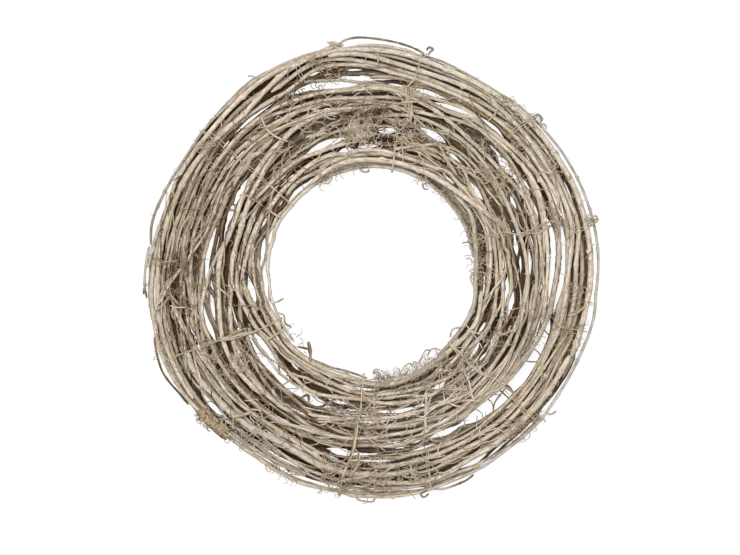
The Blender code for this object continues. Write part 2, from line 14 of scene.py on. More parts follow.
import bpy
import numpy as np
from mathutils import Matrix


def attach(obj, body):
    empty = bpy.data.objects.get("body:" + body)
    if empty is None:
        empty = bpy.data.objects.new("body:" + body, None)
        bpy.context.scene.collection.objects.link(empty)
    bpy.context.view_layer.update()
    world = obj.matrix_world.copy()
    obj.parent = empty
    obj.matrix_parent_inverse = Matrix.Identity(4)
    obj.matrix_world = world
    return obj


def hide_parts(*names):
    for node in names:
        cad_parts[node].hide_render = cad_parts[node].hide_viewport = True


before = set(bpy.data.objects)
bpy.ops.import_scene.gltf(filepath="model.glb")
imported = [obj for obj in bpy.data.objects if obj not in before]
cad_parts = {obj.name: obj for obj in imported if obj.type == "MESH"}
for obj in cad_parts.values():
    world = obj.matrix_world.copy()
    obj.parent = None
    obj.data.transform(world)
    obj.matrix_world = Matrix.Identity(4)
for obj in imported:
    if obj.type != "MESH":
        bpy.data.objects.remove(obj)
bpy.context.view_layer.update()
MM = 0.001
rng = np.random.default_rng(7)
print("solids in the frame:", len(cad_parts))

# %% [markdown]
# ## The camera, the floor and the light
# The wreath lies on its back and the camera looks straight down on it from far away, so that its
# near side looks no bigger than its far side. A long lens does that. The field is 740 mm wide, and
# the wreath's middle is a little off the middle of the picture.

# %% Camera
FIELD = 0.740
LENS = 135.0
SENSOR = 36.0
PICTURE_MIDDLE = (-0.003, -0.0095)
WREATH_MIDDLE_HEIGHT = 0.014
camera_data = bpy.data.cameras.new("Camera")
camera_data.lens = LENS
camera_data.sensor_width = SENSOR
camera = bpy.data.objects.new("Camera", camera_data)
camera.location = (*PICTURE_MIDDLE, WREATH_MIDDLE_HEIGHT + FIELD * LENS / SENSOR)
bpy.context.scene.collection.objects.link(camera)
bpy.context.scene.camera = camera
print("camera height:", round(camera.location.z, 3), "m")

# %% [markdown]
# The light is soft and comes from all over the sky, with a wide lamp beyond the wreath's top, so
# each cane is a little brighter on its upper side. The floor is pale. Most of what the camera sees
# of it is its own glow, so that the gaps between the canes look as white as the space around them,
# and only a trace of the wreath's shadow is left.

# %% Light and floor
SKY = 0.965
LAMP_WATTS = 58.0
LAMP_SIZE = 1.1
LAMP_PLACE = (-0.3, 0.7, 2.3)
FLOOR_GLOW = 1.03
FLOOR_BOUNCE = 0.12
FLOOR_SHADE = 0.12

scene = bpy.context.scene
scene.view_settings.view_transform = "Standard"
world = bpy.data.worlds.new("Soft sky")
world.use_nodes = True
world.node_tree.nodes["Background"].inputs["Color"].default_value = (1, 1, 1, 1)
world.node_tree.nodes["Background"].inputs["Strength"].default_value = SKY
scene.world = world

lamp_data = bpy.data.lights.new("Wide lamp", "AREA")
lamp_data.energy = LAMP_WATTS
lamp_data.size = LAMP_SIZE
lamp = bpy.data.objects.new("Wide lamp", lamp_data)
lamp.location = LAMP_PLACE
away = -np.array(LAMP_PLACE)
lamp.rotation_euler = (math.atan2(math.hypot(*away[:2]), -away[2]), 0, math.atan2(-away[0], away[1]))
scene.collection.objects.link(lamp)

floor_paint = bpy.data.materials.new("Pale floor")
floor_paint.use_nodes = True
tree = floor_paint.node_tree
tree.nodes.clear()
surface = tree.nodes.new("ShaderNodeOutputMaterial")
seen = tree.nodes.new("ShaderNodeMixShader")
glow = tree.nodes.new("ShaderNodeEmission")
glow.inputs["Strength"].default_value = FLOOR_GLOW
chalk = tree.nodes.new("ShaderNodeBsdfDiffuse")
chalk.inputs["Color"].default_value = (0.9, 0.9, 0.9, 1)
shaded = tree.nodes.new("ShaderNodeMixShader")
shaded.inputs[0].default_value = FLOOR_SHADE
bounce = tree.nodes.new("ShaderNodeBsdfDiffuse")
bounce.inputs["Color"].default_value = (FLOOR_BOUNCE, FLOOR_BOUNCE, FLOOR_BOUNCE, 1)
ray = tree.nodes.new("ShaderNodeLightPath")
tree.links.new(glow.outputs[0], shaded.inputs[1])
tree.links.new(chalk.outputs[0], shaded.inputs[2])
tree.links.new(ray.outputs["Is Camera Ray"], seen.inputs[0])
tree.links.new(bounce.outputs[0], seen.inputs[1])
tree.links.new(shaded.outputs[0], seen.inputs[2])
tree.links.new(seen.outputs[0], surface.inputs["Surface"])
floor_mesh = bpy.data.meshes.new("Floor")
floor_mesh.from_pydata([(-4, -4, 0), (4, -4, 0), (4, 4, 0), (-4, 4, 0)], [], [(0, 1, 2, 3)])
floor_mesh.materials.append(floor_paint)
floor = bpy.data.objects.new("Floor", floor_mesh)
scene.collection.objects.link(floor)
print("lamp:", LAMP_WATTS, "W, sky:", SKY)

# %% [markdown]
# ## Bark
# Dry bark is matt and pale on its ridges, and darker in the fine splits that run along the cane.
# It has dark specks, and blotches where the outer skin has worn away and the warmer wood shows.
# The pattern must follow each cane round the ring, so the meshes carry three marks at every point:
# "grain" is the place on the cane as if it were straight, with its length along Z; "tint" is the
# colour of the cane's bark there; and "cut" is 1 in the middle of a cut end.

# %% The bark node group
SPLIT_STRETCH = (1500, 1500, 110)
BLOTCH_STRETCH = (260, 260, 95)
SPECK_SCALE = 620.0
WORN_SHADE = (0.62, 0.515, 0.405, 1)
CHALK_COLOUR = (0.52, 0.46, 0.385, 1)
SPLIT_SHADE = (0.42, 0.33, 0.26, 1)
SPECK_SHADE = (0.40, 0.31, 0.23, 1)
BARE_WOOD = (0.46, 0.36, 0.24, 1)
BARE_SHARE = 0.9
ROUGH_BARK = 0.95
SMOOTH_BARK = 0.80


def add_node(tree, kind, **values):
    """A node with its settings, and its inputs where a value's name starts with in_ and a number."""
    node = tree.nodes.new(kind)
    for key, value in values.items():
        if key.startswith("in_"):
            node.inputs[int(key[3:])].default_value = value
        else:
            setattr(node, key, value)
    return node


def bark_group():
    """Colour, roughness and height of bark from the marks "grain", "tint" and "cut"."""
    group = bpy.data.node_groups.new("Bark", "ShaderNodeTree")
    sockets = (("Splits", 0.5), ("Specks", 0.35), ("Blotches", 0.35), ("Chalk", 0.25))
    for name, value in sockets:
        socket = group.interface.new_socket(name, in_out="INPUT", socket_type="NodeSocketFloat")
        socket.default_value = value
    group.interface.new_socket("Color", in_out="OUTPUT", socket_type="NodeSocketColor")
    group.interface.new_socket("Roughness", in_out="OUTPUT", socket_type="NodeSocketFloat")
    group.interface.new_socket("Height", in_out="OUTPUT", socket_type="NodeSocketFloat")
    link = group.links.new
    given = group.nodes.new("NodeGroupInput")
    out = group.nodes.new("NodeGroupOutput")
    grain = add_node(group, "ShaderNodeAttribute", attribute_name="grain")
    tint = add_node(group, "ShaderNodeAttribute", attribute_name="tint")
    cut = add_node(group, "ShaderNodeAttribute", attribute_name="cut")

    # The splits are noise drawn out along the cane.
    drawn = add_node(group, "ShaderNodeVectorMath", operation="MULTIPLY", in_1=SPLIT_STRETCH)
    link(grain.outputs["Vector"], drawn.inputs[0])
    splits = add_node(group, "ShaderNodeTexNoise", in_2=1.0, in_3=3.0, in_4=0.6)
    link(drawn.outputs[0], splits.inputs["Vector"])
    deep = add_node(group, "ShaderNodeMapRange", in_1=0.36, in_2=0.52, in_3=0.0, in_4=1.0)
    link(splits.outputs[0], deep.inputs[0])
    specks = add_node(group, "ShaderNodeTexNoise", in_2=SPECK_SCALE, in_3=2.0, in_4=0.5)
    link(grain.outputs["Vector"], specks.inputs["Vector"])
    speck = add_node(group, "ShaderNodeMapRange", in_1=0.55, in_2=0.64, in_3=0.0, in_4=1.0)
    link(specks.outputs[0], speck.inputs[0])
    wide = add_node(group, "ShaderNodeVectorMath", operation="MULTIPLY", in_1=BLOTCH_STRETCH)
    link(grain.outputs["Vector"], wide.inputs[0])
    blotches = add_node(group, "ShaderNodeTexNoise", in_2=1.0, in_3=3.0, in_4=0.55)
    link(wide.outputs[0], blotches.inputs["Vector"])
    blotch = add_node(group, "ShaderNodeMapRange", in_1=0.50, in_2=0.66, in_3=0.0, in_4=1.0)
    link(blotches.outputs[0], blotch.inputs[0])
    chalky = add_node(group, "ShaderNodeMapRange", in_1=0.52, in_2=0.36, in_3=0.0, in_4=1.0)
    link(blotches.outputs[0], chalky.inputs[0])

    def mixed(factor, strength, first, second, blend="MIX"):
        share = add_node(group, "ShaderNodeMath", operation="MULTIPLY")
        link(factor, share.inputs[0])
        if isinstance(strength, str):
            link(given.outputs[strength], share.inputs[1])
        else:
            share.inputs[1].default_value = strength
        mix = add_node(group, "ShaderNodeMix", data_type="RGBA", blend_type=blend)
        link(share.outputs[0], mix.inputs[0])
        link(first, mix.inputs[6])
        if isinstance(second, tuple):
            mix.inputs[7].default_value = second
        else:
            link(second, mix.inputs[7])
        return mix.outputs[2]

    worn = mixed(blotch.outputs[0], "Blotches", tint.outputs["Color"], WORN_SHADE, "MULTIPLY")
    chalked = mixed(chalky.outputs[0], "Chalk", worn, CHALK_COLOUR)
    flip = add_node(group, "ShaderNodeMath", operation="SUBTRACT", in_0=1.0)
    link(deep.outputs[0], flip.inputs[1])
    split = mixed(flip.outputs[0], "Splits", chalked, SPLIT_SHADE, "MULTIPLY")
    speckled = mixed(speck.outputs[0], "Specks", split, SPECK_SHADE, "MULTIPLY")
    wood = add_node(group, "ShaderNodeMapRange", in_1=0.12, in_2=0.35, in_3=0.0, in_4=1.0)
    link(cut.outputs["Fac"], wood.inputs[0])
    ended = mixed(wood.outputs[0], BARE_SHARE, speckled, BARE_WOOD)
    link(ended, out.inputs["Color"])
    rough = add_node(group, "ShaderNodeMapRange", in_1=0.0, in_2=1.0, in_3=ROUGH_BARK, in_4=SMOOTH_BARK)
    link(deep.outputs[0], rough.inputs[0])
    link(rough.outputs[0], out.inputs["Roughness"])
    rise = add_node(group, "ShaderNodeMath", operation="ADD")
    link(deep.outputs[0], rise.inputs[0])
    link(blotches.outputs[0], rise.inputs[1])
    link(rise.outputs[0], out.inputs["Height"])
    return group


BARK = bark_group()
print("bark group nodes:", len(BARK.nodes))


# %% Finishes made from it
SHEEN = 0.1


def bark_finish(name, bump, **strengths):
    """A matt Principled BSDF over the bark group. bump is the depth of its relief in millimetres."""
    made = bpy.data.materials.new(name)
    made.use_nodes = True
    tree = made.node_tree
    shader = tree.nodes["Principled BSDF"]
    shader.inputs["Specular IOR Level"].default_value = SHEEN
    bark = tree.nodes.new("ShaderNodeGroup")
    bark.node_tree = BARK
    for key, value in strengths.items():
        bark.inputs[key].default_value = value
    relief = tree.nodes.new("ShaderNodeBump")
    relief.inputs["Distance"].default_value = bump * MM
    tree.links.new(bark.outputs["Color"], shader.inputs["Base Color"])
    tree.links.new(bark.outputs["Roughness"], shader.inputs["Roughness"])
    tree.links.new(bark.outputs["Height"], relief.inputs["Height"])
    tree.links.new(relief.outputs["Normal"], shader.inputs["Normal"])
    return made


CANE_BARK = bark_finish("cane_bark", 0.3, Splits=0.4, Specks=0.45, Blotches=0.5, Chalk=0.3)
DEEP_BARK = bark_finish("deep_bark", 0.35, Splits=0.6, Specks=0.4, Blotches=0.5, Chalk=0.01)
TWIG_BARK = bark_finish("twig_bark", 0.2, Splits=0.4, Specks=0.4, Blotches=0.4, Chalk=0.25)
STRAND_SKIN = bark_finish("strand_skin", 0.08, Splits=0.25, Specks=0.15, Blotches=0.25, Chalk=0.1)
print("finishes:", [made.name for made in (CANE_BARK, DEEP_BARK, TWIG_BARK, STRAND_SKIN)])

# %% [markdown]
# ## Tubes
# Everything on the wreath is a round tube along a path. One function makes any number of them at
# once: it finds the direction of the path at each point, sets a ring square to it, and joins each
# ring to the next. The rings of a cane are not quite round, which gives its ridges and its buds.


# %% A tube's points
def unit(v):
    """The same directions with length 1."""
    return v / np.maximum(np.linalg.norm(v, axis=-1, keepdims=True), 1e-9)


def tube_points(paths, halves, sides, relief=None):
    """Points (M, N, sides, 3) of M tubes of N rings, from paths (M, N, 3) and half widths (M, N).

    A point is the path's point + half width * (1 + relief) * (cos a * level + sin a * up), where
    level lies flat and square to the path, up is square to both, and a goes round in equal steps."""
    along = unit(np.gradient(paths, axis=1))
    level = unit(np.cross(along, (0.0, 0.0, 1.0)) + 1e-6)
    up = np.cross(level, along)
    turn = np.arange(sides) * math.tau / sides
    ring = np.cos(turn)[:, None] * level[:, :, None] + np.sin(turn)[:, None] * up[:, :, None]
    reach = halves[:, :, None] * (1 + (0 if relief is None else relief))
    return paths[:, :, None] + reach[..., None] * ring


def tube_faces(count, rings, sides):
    """Quads between neighbouring rings, and a fan of triangles round a middle point at each end."""
    i, j = np.meshgrid(np.arange(rings - 1), np.arange(sides), indexing="ij")
    after = (j + 1) % sides
    quads = np.stack((i * sides + j, (i + 1) * sides + j, (i + 1) * sides + after, i * sides + after), -1)
    j = np.arange(sides)
    after = (j + 1) % sides
    last = (rings - 1) * sides
    middle = np.full(sides, rings * sides)
    first_fan = np.stack((middle, j, after), -1)
    last_fan = np.stack((middle + 1, last + after, last + j), -1)
    fans = np.concatenate((first_fan, last_fan))
    step = (np.arange(count) * (rings * sides + 2))[:, None, None]
    return (quads.reshape(-1, 4) + step).reshape(-1, 4), (fans + step).reshape(-1, 3)


# SHADY is painted shade: how much darker, in red, green and blue, the sides and underside of every tube are
# painted than its top.
SHADY = np.array((0.36, 0.445, 0.57))
PATTERN_SHIFT = 977.0
SHARP_EDGE = 60


def tube_set(paths, halves, sides, tints, relief=None):
    """M tubes as one set of arrays: points, quads, fans and marks. tints is (M, N, 3), linear colour.

    The grain mark is (half * cos a, half * sin a, length so far), shifted so that no two tubes show
    the same pattern. The tint carries painted shade round the section: it is multiplied by
    1 - SHADY * (1 - sin a)^1.5 on the upper side and by 1 - SHADY below, so each tube is painted
    lightest on top and darker on its sides and underside, as if lit from above. SHADY is greatest in
    the blue, which makes that painted shade warmer. Each end is closed by a middle point with a cut mark of
    1."""
    count, rings, _ = paths.shape
    points = tube_points(paths, halves, sides, relief)
    run = np.linalg.norm(np.diff(paths, axis=1), axis=2)
    length = np.concatenate((np.zeros((count, 1)), np.cumsum(run, axis=1)), axis=1)
    length = length + PATTERN_SHIFT * rng.random((count, 1))
    turn = np.arange(sides) * math.tau / sides
    grain = np.stack((
        halves[:, :, None] * np.cos(turn),
        halves[:, :, None] * np.sin(turn),
        np.repeat(length[:, :, None], sides, axis=2)), -1)
    ends = paths[:, [0, -1]]
    end_grain = np.stack((0 * length[:, [0, -1]], 0 * length[:, [0, -1]], length[:, [0, -1]]), -1)
    points = np.concatenate((points.reshape(count, -1, 3), ends), axis=1).reshape(-1, 3)
    grain = np.concatenate((grain.reshape(count, -1, 3), end_grain), axis=1).reshape(-1, 3) * MM
    # Painted shade round the section: lightest on top, darker on the sides and underside.
    bleached = 1 - SHADY * (1 - np.clip(np.sin(turn), 0, 1))[:, None] ** 1.5
    tint = (tints[:, :, None] * bleached).reshape(count, -1, 3)
    tint = np.concatenate((tint, tints[:, [0, -1]]), axis=1).reshape(-1, 3)
    cut = np.zeros((count, rings * sides + 2))
    cut[:, -2:] = 1
    quads, fans = tube_faces(count, rings, sides)
    return {"points": points, "quads": quads, "fans": fans, "grain": grain, "tint": tint, "cut": cut.ravel()}


def joined(sets):
    """Several sets of tubes as one."""
    shift = np.cumsum([0] + [len(s["points"]) for s in sets[:-1]])
    whole = {key: np.concatenate([s[key] for s in sets]) for key in ("points", "grain", "tint", "cut")}
    for key in ("quads", "fans"):
        whole[key] = np.concatenate([s[key] + n for s, n in zip(sets, shift)])
    return whole


def make_piece(name, parts, finish, nodes=()):
    """One object from a set of tubes. It rides on the wreath and stands for the CAD nodes named."""
    mesh = bpy.data.meshes.new(name)
    faces = parts["quads"].tolist() + parts["fans"].tolist()
    mesh.from_pydata((parts["points"] * MM).tolist(), [], faces)
    for mark in ("grain", "tint"):
        layer = mesh.attributes.new(mark, "FLOAT_VECTOR", "POINT")
        layer.data.foreach_set("vector", parts[mark].astype(np.float32).ravel())
    layer = mesh.attributes.new("cut", "FLOAT", "POINT")
    layer.data.foreach_set("value", parts["cut"].astype(np.float32))
    mesh.shade_smooth()
    mesh.set_sharp_from_angle(angle=math.radians(SHARP_EDGE))
    mesh.materials.append(finish)
    made = bpy.data.objects.new(name, mesh)
    scene.collection.objects.link(made)
    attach(made, "root")
    if nodes:
        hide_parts(*nodes)
    return made


print("a tube of 10 rings and 8 sides has", sum(len(f) for f in tube_faces(1, 10, 8)), "faces")

# %% [markdown]
# ## Reading the canes of the model
# A faceted cane has a ring of five points at every sixth degree round the wreath. Their mean is the
# cane's middle there, and their distance from it is its half width. A few canes have shoots fused
# to them, so a plane with any other number of points is left out and bridged by its neighbours.

# %% Middle lines
PLANES = 60
STEP = 360.0 / PLANES
NEAR_PLANE = 1.4
RING_POINTS = 5


def middle_line(node):
    """Azimuths, radii, heights and half widths of a cane's rings, in order from its first end."""
    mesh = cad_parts[node].data
    places = np.empty(len(mesh.vertices) * 3, np.float32)
    mesh.vertices.foreach_get("co", places)
    places = np.unique(np.round(places.reshape(-1, 3) / MM, 2), axis=0)
    azimuth = np.degrees(np.arctan2(places[:, 1], places[:, 0])) % 360
    plane = np.round(azimuth / STEP).astype(int)
    near = np.abs(azimuth - plane * STEP) < NEAR_PLANE
    plane %= PLANES
    found = []
    for k in range(PLANES):
        ring = places[near & (plane == k)]
        if len(ring) == RING_POINTS:
            middle = ring.mean(axis=0)
            half = np.linalg.norm(ring - middle, axis=1).mean()
            found.append((k * STEP, np.hypot(*middle[:2]), middle[2], half))
    found = np.array(found)
    jump = np.diff(np.append(found[:, 0], found[0, 0] + 360))
    first = (np.argmax(jump) + 1) % len(found)
    found = np.roll(found, -first, axis=0)
    found[:, 0] += 360 * (found[:, 0] < found[0, 0])
    return found.T


def smooth_curve(at, x, y):
    """Values at 'at' of the cubic curve that goes through (x, y) with the slope of its neighbours."""
    slope = np.gradient(y, x)
    i = np.clip(np.searchsorted(x, at) - 1, 0, len(x) - 2)
    h = x[i + 1] - x[i]
    t = (at - x[i]) / h
    rise = (1 + 2 * t) * (1 - t) ** 2 * y[i] + t * (1 - t) ** 2 * h * slope[i]
    return rise + t * t * (3 - 2 * t) * y[i + 1] + t * t * (t - 1) * h * slope[i + 1]


CANES = {name: middle_line(name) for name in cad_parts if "binding" not in name}
print("canes read:", len(CANES), "longest:", max(np.ptp(line[0]) for line in CANES.values()), "degrees")

# %% [markdown]
# ## Colours of the bark
# The canes are weathered to a pale greyed beige, and no two are quite alike. Colours are linear, and
# each cane is given one by name, with a little chance in it.

# %% Tints
# deep and dark are partly the bark's own colour and partly painted shade: they are darkened so that canes
# deep in the ring look as dark as the shadows between the canes.
TINTS = {
    "pale": (0.53, 0.468, 0.386),
    "sand": (0.465, 0.40, 0.31),
    "grey": (0.455, 0.41, 0.345),
    "pink": (0.495, 0.42, 0.345),
    "green": (0.44, 0.40, 0.285),
    "brown": (0.25, 0.18, 0.112),
    "dark": (0.165, 0.103, 0.050),
    "deep": (0.095, 0.052, 0.020),
    "rust": (0.48, 0.31, 0.18),
    "gold": (0.46, 0.39, 0.285),
    "hoop": (0.42, 0.405, 0.37),
    "bleached": (0.64, 0.575, 0.48),
}
CANE_TINTS = {
    "outer_rim_cane": "hoop", "outer_slim_cane": "grey", "outer_stub_cane": "pale",
    "outer_buried_cane": "sand", "outer_left_cane": "sand", "inner_rim_cane": "grey",
    "middle_wavy_cane": "grey", "middle_rim_cane": "brown", "inner_gap_cane": "grey",
    "inner_fine_cane": "sand", "inner_lower_cane": "sand", "outer_heavy_cane": "grey",
    "outer_tapered_cane": "pink", "middle_climbing_cane": "pink", "outer_edge_cane": "sand",
    "middle_steep_cane": "brown", "middle_lower_cane": "grey", "inner_thick_cane": "grey",
}
HUE_SPREAD = 0.012
WARMER = np.array((1.0, 0.1, -1.4))
DRIFT_SHARE = 0.6
DRIFT_RINGS = 25


def shades(name, count, spread=0.07):
    """A run of colours along one tube: its tint, a shift for the whole tube, and slow drifts.

    The tint is multiplied by 1 + chance * WARMER, which turns it redder or bluer, by 1 + spread *
    chance for the whole tube, and by 1 + DRIFT_SHARE * spread * chance at knots DRIFT_RINGS rings
    apart, with straight lines between them."""
    base = np.array(TINTS[name]) * (1 + rng.normal(0, HUE_SPREAD) * WARMER)
    own = 1 + spread * rng.normal()
    knots = 1 + DRIFT_SHARE * spread * rng.normal(size=(max(3, count // DRIFT_RINGS), 1))
    drift = np.interp(np.linspace(0, 1, count), np.linspace(0, 1, len(knots)), knots[:, 0])
    return np.clip(base * own * drift[:, None], 0, 1)


print("tints:", len(TINTS))

# %% Stains and painted shade by depth
# Painted shade by depth: the height at which a cane keeps its full tint, the least share kept, and how much
# faster green and blue fall.
FULL_LIGHT = 13.0
LEAST_LIGHT = 0.45
SHADE_WARMTH = np.array((1.0, 1.1, 1.3))

# A row is a stain's azimuth and radius, its size in degrees and in millimetres, colour and strength.
# The small ones are single marks on a cane. Of the large weak ones, some make whole parts of the ring
# paler than the rest and some darker. The wide bleached one at azimuth 292 is partly paler bark and
# partly painted light, which brightens the side of the ring furthest from the lamp.
STAINS = (
    (316.5, 197, 4, 4, "rust", 0.75), (221.5, 224, 2.5, 7, "rust", 0.35),
    (200, 111, 3, 3, "rust", 0.6), (140, 174, 1.5, 4, "rust", 0.6), (325, 175, 4, 4, "brown", 0.6),
    (133, 105, 1.5, 1.5, "green", 0.8), (346.5, 155, 1.5, 2.5, "green", 0.8),
    (34, 145, 4, 9, "rust", 0.4), (10, 137, 7, 9, "green", 0.5), (227.5, 199, 1.4, 6, "green", 0.8),
    (207, 145, 1.5, 10, "green", 0.5), (197, 125, 3, 4, "green", 0.5),
    (248, 168, 3, 3, "rust", 0.4), (256, 107, 3, 2, "rust", 0.4), (341, 203, 3, 3, "rust", 0.6),
    (166.5, 144, 2, 2, "rust", 0.7), (262, 222, 3, 6, "gold", 0.5), (270, 200, 1.2, 8, "gold", 0.6),
    (311, 217, 4, 6, "gold", 0.6), (296, 225, 2, 2, "rust", 0.5), (338, 203, 3, 2, "gold", 0.6),
    (46.5, 128.5, 3.5, 1.5, "green", 0.6), (110, 141, 2, 2, "brown", 0.7),
    (40, 133.5, 2, 4, "brown", 0.6), (164, 190, 22, 40, "brown", 0.24),
    (52, 206, 12, 14, "green", 0.35), (205, 160, 24, 40, "brown", 0.1),
    # Partly painted light: the bleached row at azimuth 292 brightens the side of the ring away from the
    # lamp.
    (338, 165, 18, 40, "brown", 0.14), (292, 150, 28, 60, "bleached", 0.42),
    (48, 145, 24, 26, "sand", 0.1), (112, 155, 24, 30, "pale", 0.18),
    (345, 205, 14, 12, "gold", 0.3), (318, 199, 14, 9, "gold", 0.3),
    (178, 112, 20, 9, "bleached", 0.28), (40, 110, 20, 10, "bleached", 0.24),
    (30, 150, 12, 11, "bleached", 0.24), (50, 170, 12, 10, "pale", 0.2),
    (90, 190, 12, 9, "pale", 0.2), (110, 150, 12, 11, "pale", 0.14),
    (190, 170, 12, 11, "bleached", 0.26), (240, 152, 22, 10, "bleached", 0.16),
    (250, 171, 12, 10, "bleached", 0.2), (290, 171, 12, 10, "bleached", 0.1),
    (10, 130, 12, 10, "brown", 0.16), (8, 208, 16, 10, "gold", 0.3),
    (150, 171, 12, 9, "brown", 0.2), (168, 130, 12, 9, "brown", 0.12),
    (232, 112, 20, 8, "brown", 0.12), (250, 210, 12, 9, "brown", 0.12),
    (310, 171, 10, 9, "brown", 0.12), (350, 118, 14, 16, "brown", 0.13),
    (180, 109, 22, 9, "bleached", 0.3), (190, 170, 11, 9, "bleached", 0.3),
    (40, 108, 22, 9, "bleached", 0.3), (150, 171, 11, 9, "brown", 0.16),
    (10, 130, 11, 9, "brown", 0.13),
)


def stained_and_depth_shaded(paths, tints):
    """Tints (M, N, 3) drawn towards a stain's colour by exp(-(across / size)^2) in azimuth and radius.

    First it paints shade by depth: the lower a path lies among the canes, the darker and browner it
    is painted, as if shaded by those above. The tints are multiplied by (height + 1) / FULL_LIGHT, kept
    between LEAST_LIGHT and 1, to the powers SHADE_WARMTH."""
    # Painted shade: the lower a path lies, the darker and browner its tint.
    tints = tints * np.clip((paths[..., 2:] + 1) / FULL_LIGHT, LEAST_LIGHT, 1) ** SHADE_WARMTH
    azimuth = np.degrees(np.arctan2(paths[..., 1], paths[..., 0]))
    radius = np.hypot(paths[..., 0], paths[..., 1])
    for at, r, wide, high, name, strength in STAINS:
        off = (azimuth - at + 180) % 360 - 180
        share = strength * np.exp(-(off / wide) ** 2 - ((radius - r) / high) ** 2)[..., None]
        tints = tints * (1 - share) + np.array(TINTS[name]) * share
    return tints


print("stains:", len(STAINS))

# %% [markdown]
# ## What lies on top
# Tendrils and strands rest on the canes below them, so the scene keeps a map of the wreath's top: a
# grid of one-millimetre cells that holds the greatest height in each. Each finished set of tubes is
# pressed into it. A path that is laid over the wreath looks up the heights beneath it, rises before
# what it meets and sinks slowly after it.

# %% The map of heights
REACH = 250
FLOOR_GAP = 0.5
top_map = np.zeros((2 * REACH, 2 * REACH))


def press(parts):
    """Raises the map to the height of these points, where they are higher."""
    x, y, z = parts["points"].T
    i = np.clip(np.round(x).astype(int) + REACH, 0, 2 * REACH - 1)
    j = np.clip(np.round(y).astype(int) + REACH, 0, 2 * REACH - 1)
    np.maximum.at(top_map, (i, j), z)


def support(x, y):
    """The greatest height in the cell at each point and in the four beside it."""
    i = np.clip(np.round(x).astype(int) + REACH, 1, 2 * REACH - 2)
    j = np.clip(np.round(y).astype(int) + REACH, 1, 2 * REACH - 2)
    around = [top_map[i, j], top_map[i + 1, j], top_map[i - 1, j], top_map[i, j + 1], top_map[i, j - 1]]
    return np.max(around, axis=0)


def laid_over(x, y, slope):
    """Heights of paths (M, N) that touch what is below and fall away from it by slope at most."""
    under = support(x, y)
    run = np.hypot(np.diff(x, axis=1), np.diff(y, axis=1))
    s = np.concatenate((np.zeros((len(x), 1)), np.cumsum(run, axis=1)), axis=1)
    ahead = np.maximum.accumulate(under + slope * s, axis=1) - slope * s
    back = np.maximum.accumulate((under - slope * s)[:, ::-1], axis=1)[:, ::-1] + slope * s
    z = np.maximum(ahead, back)
    for _ in range(2):
        z[:, 1:-1] = (z[:, :-2] + 2 * z[:, 1:-1] + z[:, 2:]) / 4
    return z


print("map cells:", top_map.size)

# %% [markdown]
# ## Gaps that stay open
# Most of the ring is packed so full that no light comes through it, but here and there the canes
# part and leave a long, thin, pointed gap. Each row is one of those: where it starts, where it ends,
# and how wide it is in the middle. The canes deep in the ring bow round them.

